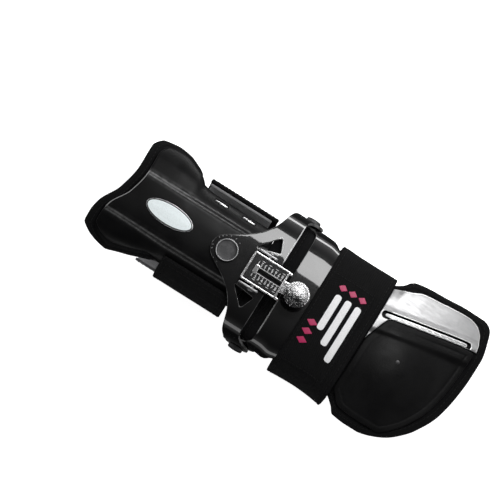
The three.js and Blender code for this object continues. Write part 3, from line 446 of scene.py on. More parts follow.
def sheet_mesh(surface, outline, low, high, edge, under=None, spacing=2.0, holes=(), rings=(), step=None):
    """Closed solid between two offsets from a surface, inside an outline and round its holes.

    low and high are offsets, or give them from (u, s, distance to the edge); edge and under are the radii
    of the rounded edges above and below; rings are distances at which a line of vertices runs.
    """
    under = edge if under is None else under
    step = step or max(min(edge * 1.6, spacing), 0.35)
    loops = [resample(outline, step), *[resample(h, step) for h in holes]]
    loops[0] = loops[0] if area(loops[0]) > 0 else loops[0][::-1]
    loops[1:] = [h if area(h) < 0 else h[::-1] for h in loops[1:]]
    widest = max(edge, under)
    gaps = sorted({round(widest * t, 4) for t in ROUND_STEPS} | {float(r) for r in rings})
    points = [*loops]
    for gap in gaps:
        ring_points = np.vstack([inset_ring(loop, gap, 1) for loop in loops])
        ring_points = ring_points[distance(ring_points, loops) > gap * 0.94]
        ring_points = ring_points[in_sheet(ring_points, loops)]
        if len(ring_points):
            points.append(thin(ring_points, min(step, 0.6) * 0.5))
    lowest, highest = loops[0].min(0), loops[0].max(0)
    across = np.arange(lowest[0] + spacing / 2, highest[0], spacing)
    along = np.arange(lowest[1] + spacing / 2, highest[1], spacing * 0.87)
    fill = np.array([(x + (spacing / 2 if k % 2 else 0), y) for k, y in enumerate(along) for x in across])
    if len(fill):
        fill = fill[in_sheet(fill, loops)]
        away = distance(fill, loops)
        clear = away > gaps[-1] + spacing * 0.4
        for gap in [g for g in gaps if g > widest]:
            clear |= (np.abs(away - gap) > spacing * 0.4) & (away > widest + spacing * 0.4)
            clear &= np.abs(away - gap) > spacing * 0.3
        points.append(fill[clear])
    flat = np.vstack(points)
    edges, start = [], 0
    for loop in loops:
        edges.extend((start + i, start + (i + 1) % len(loop)) for i in range(len(loop)))
        start += len(loop)
    coords, _, faces, *_ = delaunay_2d_cdt([Vector(p) for p in flat], edges, [], 1, 1e-4)
    flat = np.array([(c.x, c.y) for c in coords])
    tris = np.array([f for f in faces if len(f) == 3])
    tris = tris[in_sheet(flat[tris].mean(1), loops)]
    a, b, c = flat[tris[:, 0]], flat[tris[:, 1]], flat[tris[:, 2]]
    turn = (b[:, 0] - a[:, 0]) * (c[:, 1] - a[:, 1]) - (b[:, 1] - a[:, 1]) * (c[:, 0] - a[:, 0])
    tris[turn < 0] = tris[turn < 0][:, ::-1]
    used = np.unique(tris)
    remap = -np.ones(len(flat), int)
    remap[used] = np.arange(len(used))
    flat, tris = flat[used], remap[tris]
    u, s = flat[:, 0], flat[:, 1]
    gap = distance(flat, loops)
    base, normal = surface.at(u, s), surface.normal(u, s)
    low, high = (level(u, s, gap) if callable(level) else level for level in (low, high))
    top = base + normal * (high - bullnose(gap, edge))[:, None]
    bottom = base + normal * (low + bullnose(gap, under))[:, None]
    sides = dict.fromkeys(map(tuple, np.vstack([tris[:, [0, 1]], tris[:, [1, 2]], tris[:, [2, 0]]]).tolist()))
    rim = [(i, j) for i, j in sides if (j, i) not in sides]
    n = len(flat)
    walls = [(i, n + i, n + j, j) for i, j in rim]
    polys = [tuple(t) for t in tris] + [tuple(n + t[::-1]) for t in tris] + walls
    return np.vstack([top, bottom]), polys, np.vstack([flat, flat]), np.concatenate([gap, gap])


# Distance to an edge, in mm, that a mesh without edges of its own is given
FAR = 99.0


class Build:
    """Meshes gathered into one piece."""

    def __init__(self):
        self.points, self.faces, self.uvs, self.gaps, self.slots, self.count = [], [], [], [], [], 0

    def add(self, points, faces, uv=None, gap=None, slot=0):
        """Take in a mesh. slot is one number for all its faces, or a list with one for each."""
        points = np.asarray(points, float)
        self.points.append(points)
        self.faces.extend(tuple(int(i) + self.count for i in f) for f in faces)
        self.uvs.append(np.zeros((len(points), 2)) if uv is None else uv)
        self.gaps.append(np.full(len(points), FAR) if gap is None else gap)
        self.slots.extend(slot if isinstance(slot, list) else [slot] * len(faces))
        self.count += len(points)

    def sheet(self, *args, slot=0, **options):
        points, faces, uv, gap = sheet_mesh(*args, **options)
        self.add(points, faces, uv, gap, slot)

    def make(self, name, body, materials, replaces=(), angle=40):
        mesh = bpy.data.meshes.new(name)
        mesh.from_pydata([tuple(p) for p in place(np.vstack(self.points))], [], self.faces)
        for m in materials if isinstance(materials, (list, tuple)) else [materials]:
            mesh.materials.append(m)
        mesh.polygons.foreach_set("material_index", self.slots)
        loops = np.zeros(len(mesh.loops), int)
        mesh.loops.foreach_get("vertex_index", loops)
        uv = mesh.uv_layers.new(name="flat")
        uv.data.foreach_set("uv", (np.vstack(self.uvs)[loops] / UV_LENGTH).astype(np.float32).ravel())
        rim = mesh.attributes.new("rim", "FLOAT", "POINT")
        rim.data.foreach_set("value", np.concatenate(self.gaps).astype(np.float32))
        mesh.validate()
        piece = bpy.data.objects.new(name, mesh)
        bpy.context.scene.collection.objects.link(piece)
        mesh.polygons.foreach_set("use_smooth", [True] * len(mesh.polygons))
        mesh.set_sharp_from_angle(angle=math.radians(angle))
        mesh.update()
        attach(piece, body)
        if replaces:
            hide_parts(*replaces)
        return piece


def lathe(profile, sides, centre, wobble=None):
    """Turned solid from (radius, height) rows. wobble changes the radius with the angle and the row."""
    angles = np.linspace(0, 2 * math.pi, sides, endpoint=False)
    points, faces = [], []
    for k, (radius, height) in enumerate(profile):
        r = np.full(sides, float(radius))
        if wobble is not None:
            r = r * wobble(angles, k)
        points.extend(zip(r * np.cos(angles), r * np.sin(angles), np.full(sides, float(height))))
    for k in range(len(profile) - 1):
        for i in range(sides):
            j = (i + 1) % sides
            a, b = k * sides, (k + 1) * sides
            faces.append((a + i, a + j, b + j, b + i))
    faces.append(tuple(reversed(range(sides))))
    last = (len(profile) - 1) * sides
    faces.append(tuple(range(last, last + sides)))
    return np.array(points) + np.array(centre), faces


def add_sideways(build, profile, sides, centre, sign, wobble=None):
    """A turned solid that points out along Y, on the side that sign says."""
    points, faces = lathe(profile, sides, (0, 0, 0), wobble)
    points = points[:, [0, 2, 1]] * np.array([1, sign, 1]) + np.array(centre)
    build.add(points, faces if sign < 0 else [f[::-1] for f in faces])


def capsules(centres, directions, normals, length, radius, sides=6):
    """Small rounded threads, one at each centre, lying along its direction."""
    rows = [(-0.5, 0.35), (-0.38, 0.85), (-0.12, 1.0), (0.12, 1.0), (0.38, 0.85), (0.5, 0.35)]
    angles = np.linspace(0, 2 * math.pi, sides, endpoint=False)
    shape = np.array([
        (a * length, radius * w * math.cos(t), radius * w * math.sin(t)) for a, w in rows for t in angles])
    last = (len(rows) - 1) * sides
    quads = [(k + i, k + (i + 1) % sides, k + sides + (i + 1) % sides, k + sides + i)
             for k in range(0, last, sides) for i in range(sides)]
    quads += [tuple(reversed(range(sides))), tuple(range(last, last + sides))]
    points, faces = [], []
    for c, d, n in zip(centres, directions, normals):
        d = d / np.linalg.norm(d)
        n = n - d * (n @ d)
        n /= np.linalg.norm(n)
        side = np.cross(n, d)
        start = len(points) * len(shape)
        points.append(c + shape[:, :1] * d + shape[:, 1:2] * side + shape[:, 2:] * n)
        faces.extend(tuple(i + start for i in q) for q in quads)
    return np.vstack(points), faces


STITCH_PITCH, STITCH_LENGTH, STITCH_RADIUS = 3.0, 2.1, 0.28


def stitch_line(build, surface, line, lift, closed=False, slot=0):
    """A row of stitches along a line on a surface."""
    line = np.asarray(line, float)
    if closed:
        line = np.vstack([line, line[:1]])
    run = run_along(line)
    count = max(2, int(run[-1] / STITCH_PITCH))
    at = (np.arange(count) + 0.5) / count * run[-1]
    u, s = points_at(line, run, at).T
    normal = surface.normal(u, s)
    centres = surface.at(u, s) + normal * lift
    ahead, back = (surface.at(*points_at(line, run, at + step).T) for step in (0.4, -0.4))
    points, faces = capsules(centres, ahead - back, normal, STITCH_LENGTH, STITCH_RADIUS)
    build.add(points, faces, slot=slot)


# Materials

# Millimetres of a sheet to one unit of its UV map
UV_LENGTH = 100


class Nodes:
    """A material's nodes, made by name and joined by socket."""

    def __init__(self, name, base, roughness, metallic=0.0, coat=0.0, coat_roughness=0.05, specular=0.5):
        self.material = bpy.data.materials.new(name)
        self.material.use_nodes = True
        self.tree = self.material.node_tree
        self.shader = next(n for n in self.tree.nodes if n.type == "BSDF_PRINCIPLED")
        for socket, value in (
            ("Base Color", (*base, 1)), ("Roughness", roughness), ("Metallic", metallic),
            ("Coat Weight", coat), ("Coat Roughness", coat_roughness), ("Specular IOR Level", specular),
        ):
            self.shader.inputs[socket].default_value = value
        self.places = {}

    def node(self, kind, **values):
        made = self.tree.nodes.new(kind)
        for key, value in values.items():
            setattr(made, key, value)
        return made

    def feed(self, socket, value):
        if isinstance(value, bpy.types.NodeSocket):
            self.tree.links.new(value, socket)
        else:
            socket.default_value = value

    def scaled(self, key, raw, factor):
        """A place times a factor, made once."""
        if key not in self.places:
            made = self.node("ShaderNodeVectorMath", operation="SCALE")
            self.feed(made.inputs[0], raw())
            made.inputs["Scale"].default_value = factor
            self.places[key] = made.outputs[0]
        return self.places[key]

    def uv(self):
        """Place along and across the sheet, in mm."""
        return self.scaled("uv", lambda: self.node("ShaderNodeUVMap", uv_map="flat").outputs[0], UV_LENGTH)

    def solid(self):
        """Place in the object, in mm."""
        return self.scaled("solid", lambda: self.node("ShaderNodeTexCoord").outputs["Object"], 1000)

    def tone(self):
        """What the base colour is fed from so far."""
        return self.shader.inputs["Base Color"].links[0].from_socket

    def math(self, operation, a, b=0.0, c=0.0):
        made = self.node("ShaderNodeMath", operation=operation)
        for socket, value in zip(made.inputs, (a, b, c)):
            self.feed(socket, value)
        return made.outputs[0]

    def noise(self, where, scale, detail=2.0, roughness=0.5):
        made = self.node("ShaderNodeTexNoise")
        self.feed(made.inputs["Vector"], where)
        made.inputs["Scale"].default_value = scale
        made.inputs["Detail"].default_value = detail
        made.inputs["Roughness"].default_value = roughness
        return made.outputs["Fac"]

    def split(self, where):
        made = self.node("ShaderNodeSeparateXYZ")
        self.feed(made.inputs[0], where)
        return made.outputs

    def ramp(self, value, low, high, out_low, out_high):
        made = self.node("ShaderNodeMapRange", interpolation_type="SMOOTHSTEP")
        for socket, number in zip(made.inputs, (value, low, high, out_low, out_high)):
            self.feed(socket, number)
        return made.outputs[0]

    def mix(self, share, a, b):
        made = self.node("ShaderNodeMix", data_type="RGBA")
        self.feed(made.inputs["Factor"], share)
        for socket, value in ((made.inputs[6], a), (made.inputs[7], b)):
            self.feed(socket, value if isinstance(value, bpy.types.NodeSocket) else (*value, 1))
        return made.outputs[2]

    def colour(self, value):
        self.feed(self.shader.inputs["Base Color"], value)
        return self

    def rough(self, value):
        self.feed(self.shader.inputs["Roughness"], value)
        return self

    def bump(self, height, depth):
        """Bump of a depth in mm, on top of any made before."""
        made = self.node("ShaderNodeBump")
        made.inputs["Distance"].default_value = depth / 1000
        self.feed(made.inputs["Height"], height)
        if "bump" in self.places:
            self.feed(made.inputs["Normal"], self.places["bump"])
        self.places["bump"] = made.outputs[0]
        self.feed(self.shader.inputs["Normal"], made.outputs[0])
        return self

    def rim(self):
        """Distance to the sheet's edge, in mm."""
        if "rim" not in self.places:
            self.places["rim"] = self.node("ShaderNodeAttribute", attribute_name="rim").outputs["Fac"]
        return self.places["rim"]


def wave(n, value, pitch, phase=0.0):
    """A row of round ridges with that pitch, from 0 to 1."""
    turn = n.math("MULTIPLY_ADD", value, 2 * math.pi / pitch, phase)
    return n.math("MULTIPLY_ADD", n.math("SINE", turn), 0.5, 0.5)


def knit(name, dark, light, roughness=0.86, pitch=0.9, depth=0.09, fluff=0.03, specular=0.08):
    """Jersey over foam: fine wales and courses, with a slow change of tone."""
    n = Nodes(name, dark, roughness, specular=specular)
    x, y, _ = n.split(n.uv())
    swing = n.math("SINE", n.math("MULTIPLY", y, 2 * math.pi / pitch))
    courses = wave(n, n.math("ADD", x, n.math("MULTIPLY", swing, 0.18)), pitch)
    wales = wave(n, y, pitch)
    loops = n.math("MULTIPLY", courses, wales)
    slow = n.noise(n.uv(), 0.09, 3.0)
    fine = n.noise(n.uv(), 2.2, 2.0)
    tone = n.math("MULTIPLY_ADD", loops, 0.5, n.math("MULTIPLY", slow, 0.6))
    n.colour(n.mix(tone, dark, light))
    n.rough(n.ramp(fine, 0.3, 0.7, roughness - 0.08, min(roughness + 0.08, 1)))
    n.bump(loops, depth).bump(fine, fluff)
    return n


def woven(name, dark, light, pitch=1.5, depth=0.22):
    """Strap webbing: slanting ribs, with finer picks slanting the other way."""
    n = Nodes(name, dark, 0.8, specular=0.08)
    x, y, _ = n.split(n.uv())
    ribs = wave(n, n.math("MULTIPLY_ADD", x, 0.75, y), pitch)
    picks = wave(n, n.math("SUBTRACT", y, n.math("MULTIPLY", x, 0.75)), pitch * 0.5)
    cloth = n.math("MULTIPLY_ADD", ribs, 0.7, n.math("MULTIPLY", picks, 0.3))
    slow = n.noise(n.uv(), 0.12, 2.0)
    n.colour(n.mix(n.math("MULTIPLY_ADD", slow, 0.5, n.math("MULTIPLY", cloth, 0.5)), dark, light))
    n.bump(cloth, depth).bump(n.noise(n.uv(), 5.0, 1.0), 0.03)
    return n


def enamel(name, base, roughness, coat=0.3, edge=0.05, edge_width=0.5):
    """Gloss enamel with a faint orange peel, and a painted highlight along its edges, broken into patches."""
    n = Nodes(name, base, roughness, coat=coat, coat_roughness=0.04, specular=0.1)
    slow = n.noise(n.solid(), 0.06, 3.0)
    fine = n.noise(n.solid(), 0.9, 2.0)
    # edge is the tone and edge_width the reach of the painted highlight along the rim
    patches = n.ramp(n.noise(n.solid(), 0.12, 3.0), 0.36, 0.62, 0.15, 1.0)
    painted_rim_highlight = n.math("MULTIPLY", n.ramp(n.rim(), 0.0, edge_width, 1.0, 0.0), patches)
    n.colour(n.mix(painted_rim_highlight, base, (edge, edge, edge)))
    n.rough(n.ramp(slow, 0.3, 0.7, roughness - 0.05, roughness + 0.07))
    n.bump(fine, 0.006)
    return n


def plate_enamel(name, base):
    """The forearm plate's enamel: glossy along its two bends and dull on its lobes."""
    n = enamel(name, base, 0.34, coat=0.0, edge=0.012)
    n.shader.inputs["Coat Roughness"].default_value = 0.33
    n.shader.inputs["Specular IOR Level"].default_value = 0.12
    x, y, _ = n.split(n.solid())
    across = n.math("ABSOLUTE", n.math("ADD", y, float(-SHIFT[1])))
    bend = n.math("MULTIPLY", n.ramp(across, 13.5, 17.5, 0.0, 1.0), n.ramp(across, 19.0, 23.5, 1.0, 0.0))
    fade = n.ramp(x, -135.0, -25.0, 1.0, 0.35)
    mottle = n.ramp(n.noise(n.solid(), 0.3, 4.0, 0.6), 0.35, 0.62, 0.45, 1.0)
    n.feed(n.shader.inputs["Coat Weight"], n.math("MULTIPLY", bend, n.math("MULTIPLY", fade, mottle)))
    # Painted highlight along the plate's rear edge between its two bends
    return painted_highlight_line(n, 0.2, 0.7, (-160, -120), (-19, 19))


def painted_highlight_line(n, tone, width, x_range, y_range):
    """A painted highlight along the edge, where it lies between those places along and across."""
    x, y, _ = n.split(n.solid())
    share = n.ramp(n.rim(), width * 0.75, width, 1.0, 0.0)
    for value, (low, high) in ((x, x_range), (y, y_range)):
        share = n.math("MULTIPLY", share, n.ramp(value, low - 1.5, low + 1.5, 0.0, 1.0))
        share = n.math("MULTIPLY", share, n.ramp(value, high - 1.5, high + 1.5, 1.0, 0.0))
    return n.colour(n.mix(share, n.tone(), (tone, tone, tone)))


def metal(name, base, roughness, grain=0.0, along=(0.05, 2.5, 2.5), blotch=0.25):
    """Bare metal: base tone with blotches, and grain drawn out along one direction."""
    n = Nodes(name, base, roughness, metallic=1.0)
    stretch = n.node("ShaderNodeMapping")
    n.feed(stretch.inputs["Vector"], n.solid())
    stretch.inputs["Scale"].default_value = along
    lines = n.noise(stretch.outputs[0], 1.0, 3.0)
    slow = n.noise(n.solid(), 0.16, 4.0, 0.6)
    darker = tuple(c * (1 - blotch) for c in base)
    n.colour(n.mix(n.ramp(slow, 0.35, 0.65, 0.0, 1.0), darker, base))
    gloss = n.math("MULTIPLY_ADD", lines, 0.6, n.math("MULTIPLY", slow, 0.4))
    n.rough(n.ramp(gloss, 0.35, 0.65, max(roughness - 0.07, 0.02), roughness + 0.08))
    if grain:
        n.bump(lines, grain)
    return n


def grey(level, blue=0.0):
    """A grey of that level, a little bluer by the second number."""
    return (level, level, level + blue)


def painted_shade_under_strap(n):
    """Paints shade on the grey cloth where it lies under the strap: near black there."""
    x, y, _ = n.split(n.solid())
    strap_shade = n.math("MULTIPLY", n.ramp(x, -84.0, -82.5, 0.0, 1.0), n.ramp(y, 36.8, 37.8, 0.0, 1.0))
    return n.colour(n.mix(strap_shade, n.tone(), grey(0.004, 0.0002)))


def pits_and_painted_reflection(n):
    """Dark pitting in chrome; more of it on the pinky side, as a painted dark reflection."""
    grain = n.noise(n.solid(), 0.75, 4.0, 0.75)
    # Shifts the pitting by place: a painted dark reflection on the pinky side, less on the thumb side
    side = n.ramp(n.split(n.solid())[1], -8.0, 5.0, 0.1, -0.12)
    pits_and_reflection = n.ramp(n.math("ADD", grain, side), 0.46, 0.6, 0.0, 1.0)
    return n.colour(n.mix(pits_and_reflection, n.tone(), grey(0.035, 0.001))).bump(grain, 0.5)


BLACK = grey(0.002, 0.0002)
EVEN = (1, 1, 1)

jersey = knit("black_jersey", grey(0.003, 0.0003), grey(0.009, 0.0006)).material
binding = knit("black_binding", grey(0.0028, 0.0002), grey(0.007, 0.0004), 0.82, 0.7, 0.12).material
lining = knit("lining", grey(0.05, 0.002), grey(0.11, 0.003), 0.95, 1.6, 0.2, 0.06, 0.3).material
webbing = woven("black_webbing", grey(0.0025, 0.0002), grey(0.007, 0.0003)).material
# Grey cloth, with painted shade where it lies under the strap
grey_knit = painted_shade_under_strap(
    knit("grey_knit", grey(0.1, 0.003), grey(0.25, 0.005), 0.9, 1.1, 0.14, 0.06, 0.3)).material
thread = Nodes("thread", grey(0.007, 0.0003), 0.65, specular=0.12)
thread = thread.bump(wave(thread, thread.split(thread.solid())[0], 0.5), 0.05).material
# Hand plate enamel: painted highlight on its rims, and a brighter painted highlight line on its rear edge on
# the pinky side
hand_paint = enamel("hand_enamel", BLACK, 0.26, coat=1.0, edge=0.1, edge_width=0.55)
hand_paint = painted_highlight_line(hand_paint, 0.62, 1.1, (-30, 0), (-36, -9)).material
# Yoke enamel: painted highlight on its rims, and a brighter painted highlight line on the thumb arm's front
# edge
paint = enamel("black_enamel", BLACK, 0.26, coat=1.0, edge=0.14)
paint = painted_highlight_line(paint, 0.5, 0.8, (-22, -7), (14, 44)).material
plate_paint = plate_enamel("plate_enamel", BLACK).material
# Satin steel, with a painted highlight line on its edges on the thumb side of the finger parts
satin = metal("satin_steel", grey(0.33, 0.003), 0.42, 0.012, (0.08, 1.6, 1.6), 0.1)
satin = painted_highlight_line(satin, 0.75, 0.7, (72, 150), (18, 80)).material
bright = metal("bright_steel", grey(0.62, 0.005), 0.26, 0.006, (1.5, 0.08, 1.5), 0.1).material
chrome = metal("chrome", grey(0.92, 0.005), 0.07, 0.0, EVEN, 0.06).material
dark_metal = metal("dark_metal", grey(0.1, 0.002), 0.5, 0.03, (1.2, 1.2, 1.2), 0.3).material
knob_face = metal("knob_face", grey(0.085, 0.002), 0.6, 0.05, (1.6, 1.6, 1.6), 0.35).material
dot_metal = metal("dot_metal", grey(0.16, 0.003), 0.5).material
bracket_steel = metal("bracket_steel", grey(0.3, 0.005), 0.34, 0.01, (1.5, 0.1, 1.5), 0.2).material
dome_chrome = pits_and_painted_reflection(metal("dome_chrome", grey(0.6, 0.005), 0.08, 0.0, EVEN, 0.1)).material
frame_chrome = metal("frame_chrome", grey(0.7, 0.005), 0.16, 0.0, EVEN, 0.1).material


def leather(name, dark, light, roughness=0.42):
    """Moulded leather: fine pebble grain and a slow change of gloss."""
    n = Nodes(name, dark, roughness, specular=0.11)
    grain = n.node("ShaderNodeTexVoronoi")
    n.feed(grain.inputs["Vector"], n.solid())
    grain.inputs["Scale"].default_value = 1.5
    slow = n.noise(n.solid(), 0.08, 3.0)
    n.colour(n.mix(slow, dark, light))
    n.rough(n.ramp(slow, 0.3, 0.7, roughness - 0.06, roughness + 0.08))
    n.bump(grain.outputs["Distance"], 0.05).bump(n.noise(n.solid(), 0.5, 3.0), 0.05)
    return n


def speckled(name, dark, light):
    """Cast dial face: dark, rough and speckled."""
    n = Nodes(name, dark, 0.5, metallic=0.7)
    grain = n.noise(n.solid(), 2.4, 3.0, 0.7)
    n.colour(n.mix(n.ramp(grain, 0.5, 0.68, 0.0, 1.0), dark, light))
    n.bump(grain, 0.12)
    return n


def printed(name, tone, roughness=0.45):
    """Screen print on cloth: even colour, a little broken by the weave."""
    n = Nodes(name, tone, roughness, specular=0.4)
    fine = n.noise(n.solid(), 1.8, 3.0)
    n.colour(n.mix(n.ramp(fine, 0.3, 0.6, 0.0, 1.0), tuple(c * 0.86 for c in tone), tone))
    n.bump(fine, 0.04)
    return n


cover_leather = leather("cover_leather", BLACK, grey(0.004, 0.0002), 0.46).material
dial_face = speckled("dial_face", grey(0.006, 0.0003), grey(0.07, 0.002)).material
scale_print = printed("scale_print", grey(0.78, 0.01), 0.35).material
white_print = printed("white_print", grey(0.8, 0.01)).material
magenta_print = printed("magenta_print", (0.42, 0.012, 0.09)).material
badge_white = printed("badge_white", (0.83, 0.9, 0.91), 0.25).material
badge_rim = enamel("badge_rim", (0.03, 0.033, 0.035), 0.3).material
badge_edge = metal("badge_edge", grey(0.5, 0.01), 0.3).material

# Pads: the binding's width and how far it stands up
BORDER = 6.2
BORDER_RISE = 0.35


def ripple(x, y, size=0.12):
    """Slow unevenness of cloth over foam, in mm."""
    a = np.sin(0.11 * x + 0.07 * y + 0.6) * np.sin(0.083 * y - 0.05 * x + 1.9)
    b = np.sin(0.23 * x - 0.19 * y + 2.2) * np.sin(0.17 * y + 0.21 * x)
    return size * (a + 0.5 * b)


def add_pad(build, surface, outline, low, high, edge, border=BORDER, stitches=True):
    """Padded sheet: jersey above, a raised binding round its edge and lining below."""
    def top(u, s, gap):
        rise = BORDER_RISE * (1 - smoothstep(border - 0.3, border + 0.25, gap))
        crown = -0.28 * np.exp(-((gap - border - 0.5) / 0.8) ** 2)
        return high + rise + crown + ripple(u, s) * smoothstep(1, 6, gap)

    rings = [border + r for r in (-0.7, -0.3, 0, 0.3, 0.9, 1.8)]
    points, faces, uv, gap = sheet_mesh(surface, outline, low, top, edge, spacing=1.7, rings=rings)
    tops = sum(1 for f in faces if len(f) == 3) // 2
    slots = []
    for k, face in enumerate(faces):
        near = np.mean([gap[i] for i in face]) < border - 0.02
        slots.append(1 if near or k >= 2 * tops else 0 if k < tops else 2)
    build.add(points, faces, uv, gap, slots)
    if stitches:
        loop = resample(outline, 0.8)
        loop = loop if area(loop) > 0 else loop[::-1]
        line = inset_ring(loop, border - 1.5, 1)
        line = line[distance(line, [loop]) > (border - 1.5) * 0.93]
        stitch_line(build, surface, line, high + BORDER_RISE + 0.06, closed=True, slot=3)


# Forearm

forearm_pinky, forearm_thumb = curve(FOREARM_PINKY), curve(FOREARM_THUMB)
forearm_fall, forearm_rear = curve(FOREARM_FALL), curve(FOREARM_REAR)


def forearm_along(x):
    return (FOREARM_FRONT - np.asarray(x, float)) / FOREARM_LENGTH


def forearm_half(x, side):
    share = (forearm_thumb if side > 0 else forearm_pinky)(forearm_along(x))
    return FOREARM_HALF * share


forearm_arch = arch(
    (-148, -16), lambda x: FOREARM_TOP, lambda x: FOREARM_DROP * forearm_fall(forearm_along(x)),
    lambda x: forearm_half(x, -1), lambda x: forearm_half(x, 1), FOREARM_POWER)


def forearm_outline(reach, inset, half_share, side_inset, lip=()):
    """Rear edge from the pinky side to the thumb side, then the two sides and the wrist end."""
    def edge(x, side):
        return side * (forearm_half(x, side) * half_share - side_inset(x))

    shares = np.linspace(-reach, reach, 121)
    rear = FOREARM_FRONT - FOREARM_LENGTH * forearm_rear(shares) + inset
    points = [(x, abs(share) / reach * edge(x, side_of(share))) for share, x in zip(shares, rear)]
    thumb = [(x, edge(x, 1)) for x in np.linspace(rear[-1], FOREARM_FRONT, 90)[1:]]
    pinky = [(x, edge(x, -1)) for x in np.linspace(FOREARM_FRONT, rear[0], 90)[:-1]]
    return np.array(points + thumb + list(lip) + pinky)


pad = Build()
pad_lip = [(FOREARM_FRONT, 24), (FOREARM_FRONT + 2, 18), (FOREARM_FRONT + 2, -18), (FOREARM_FRONT, -24)]
pad_outline = forearm_arch.flat(forearm_outline(0.995, 0.0, 0.995, lambda x: 0.0, pad_lip))
add_pad(pad, forearm_arch, pad_outline, -PAD_THICKNESS, -0.12, 2.1)
forearm_pad = pad.make(
    "forearm_pad_soft", "forearm", [jersey, binding, lining, thread], ["forearm_pad"])


def plate_side_inset(x):
    share = smoothstep(0.49, 0.6, forearm_along(x))
    return PLATE_SIDE_GAP + (PLATE_BORDER - PLATE_SIDE_GAP) * share


def panel_raise(y):
    return PANEL_RAISE * (1 - smoothstep(PANEL_HALF, PANEL_HALF + PANEL_SLOPE, np.abs(y)))


def plate_low(u, s, gap):
    y = forearm_arch.at(u, s)[:, 1]
    wide = smoothstep(0.46 * FOREARM_HALF, 0.67 * FOREARM_HALF, np.abs(y))
    return SEAT + 0.7 * smoothstep(0.45, 0.55, forearm_along(u)) * wide + panel_raise(y)


WINDOW_X, WINDOW_Y, WINDOW_PITCH = -57.0, 26.2, 22.5
WINDOW_LENGTH, WINDOW_WIDTH, BAR_DIAMETER = 10.5, 3.0, 2.2
window_places = [WINDOW_X - WINDOW_PITCH / 2, WINDOW_X + WINDOW_PITCH / 2]


def window_outline(x):
    half, s = WINDOW_LENGTH / 2, float(forearm_arch.s_of([x], [WINDOW_Y])[0])
    return rectangle(x - half, x + half, s - WINDOW_WIDTH / 2, s + WINDOW_WIDTH / 2, 0.7, 4)


plate = Build()
plate_outline = forearm_arch.flat(forearm_outline(1.0, PLATE_INSET, 0.99, plate_side_inset))
plate.sheet(forearm_arch, plate_outline, plate_low, lambda u, s, gap: plate_low(u, s, gap) + PLATE_THICKNESS,
            0.55, under=0.3, spacing=1.5, holes=[window_outline(x) for x in window_places])
plate.make("forearm_plate_bent", "forearm", plate_paint, ["forearm_plate"])

half, r = WINDOW_LENGTH / 2 - CLEARANCE, BAR_DIAMETER / 2
bar_rows = [(r * 0.3, -half), (r * 0.8, -half + 0.12), (r, -half + 0.5)]
bar_rows += [(radius, -height) for radius, height in reversed(bar_rows)]
for number, x in enumerate(window_places, 1):
    rod = Build()
    points, faces = lathe(bar_rows, 28, (0, 0, 0))
    centre = forearm_arch.above(x, WINDOW_Y, CLEARANCE + r)
    rod.add(points[:, [2, 1, 0]] * np.array([1, 1, -1]) + centre, faces)
    rod.make(f"strap_bar_{number}_round", "forearm", bright, [f"strap_bar_{number}"])

STRAP_REAR, STRAP_FRONT, STRAP_TOP_Y = -83.0, -28.0, -23.0


def strap_line(x):
    """The black strap's middle line in YZ: over the pinky flange, underneath, up the thumb side."""
    floor = STRAP_THICKNESS / 2
    lift = 3 * SEAT + PLATE_THICKNESS + floor
    edge = SEAT - float(forearm_half(WINDOW_X, -1))
    top = [forearm_arch.above(x, y, lift)[1:] for y in (STRAP_TOP_Y, (STRAP_TOP_Y + edge) / 2, edge)]
    run = [(side * STRAP_HALF, floor + height * (STRAP_HEIGHT - floor)) for side, height in STRAP_RUN]
    line = spline(top + run, 220)
    line[:, 1] = np.maximum(line[:, 1], floor)
    return np.column_stack([np.full(len(line), x), line])


# The strap's line is turned round so that its outer face is on the left of its run
strap_sheet = path_sheet(np.linspace(STRAP_REAR, STRAP_FRONT, 56), lambda x: strap_line(x)[::-1])
strap_length = strap_sheet.ss[-1]
strap = Build()
half = STRAP_THICKNESS / 2
strap.sheet(strap_sheet, rectangle(STRAP_REAR, STRAP_FRONT, EDGE, strap_length - EDGE, 1.2), -half,
            lambda u, s, gap: half + 0.12 * np.exp(-((gap - 2.2) / 0.7) ** 2), 0.8, rings=(1.5, 2.2, 2.9))
for gap in (1.4, 4.4):
    line = rectangle(STRAP_REAR + gap, STRAP_FRONT - gap, gap, strap_length - gap, 1.0)
    stitch_line(strap, strap_sheet, resample(line, 1.0), half + 0.08, closed=True, slot=1)
strap.make("forearm_strap_woven", "forearm", [webbing, thread], ["forearm_strap"])

# Grey band between the pad and the strap. Its u runs from 0 at the rear to its width at the front
UNDER_HALF_THICKNESS, UNDER_WIDTH = 1.0, 60.0
UNDER_FLOOR = STRAP_THICKNESS + CLEARANCE + UNDER_HALF_THICKNESS
UNDER_HALF = STRAP_HALF - (STRAP_THICKNESS / 2 + UNDER_HALF_THICKNESS + 2 * CLEARANCE)
UNDER_REAR_PINKY, UNDER_REAR_THUMB, UNDER_FRONT = -100, -82, -32


def under_line(front):
    points = []
    for side, height in STRAP_RUN:
        if side > 0 or height < 0.6:
            rear = UNDER_REAR_PINKY + (UNDER_REAR_THUMB - UNDER_REAR_PINKY) * (side + 1) / 2
            z = UNDER_FLOOR + height * (STRAP_HEIGHT - UNDER_FLOOR)
            points.append((rear + (UNDER_FRONT - rear) * front, side * UNDER_HALF, z))
    x, y, z = points[-1]
    points.append((x, y - 0.4, z + 4))
    line = spline(points, 160)
    line[:, 2] = np.maximum(line[:, 2], UNDER_FLOOR)
    return line[::-1]


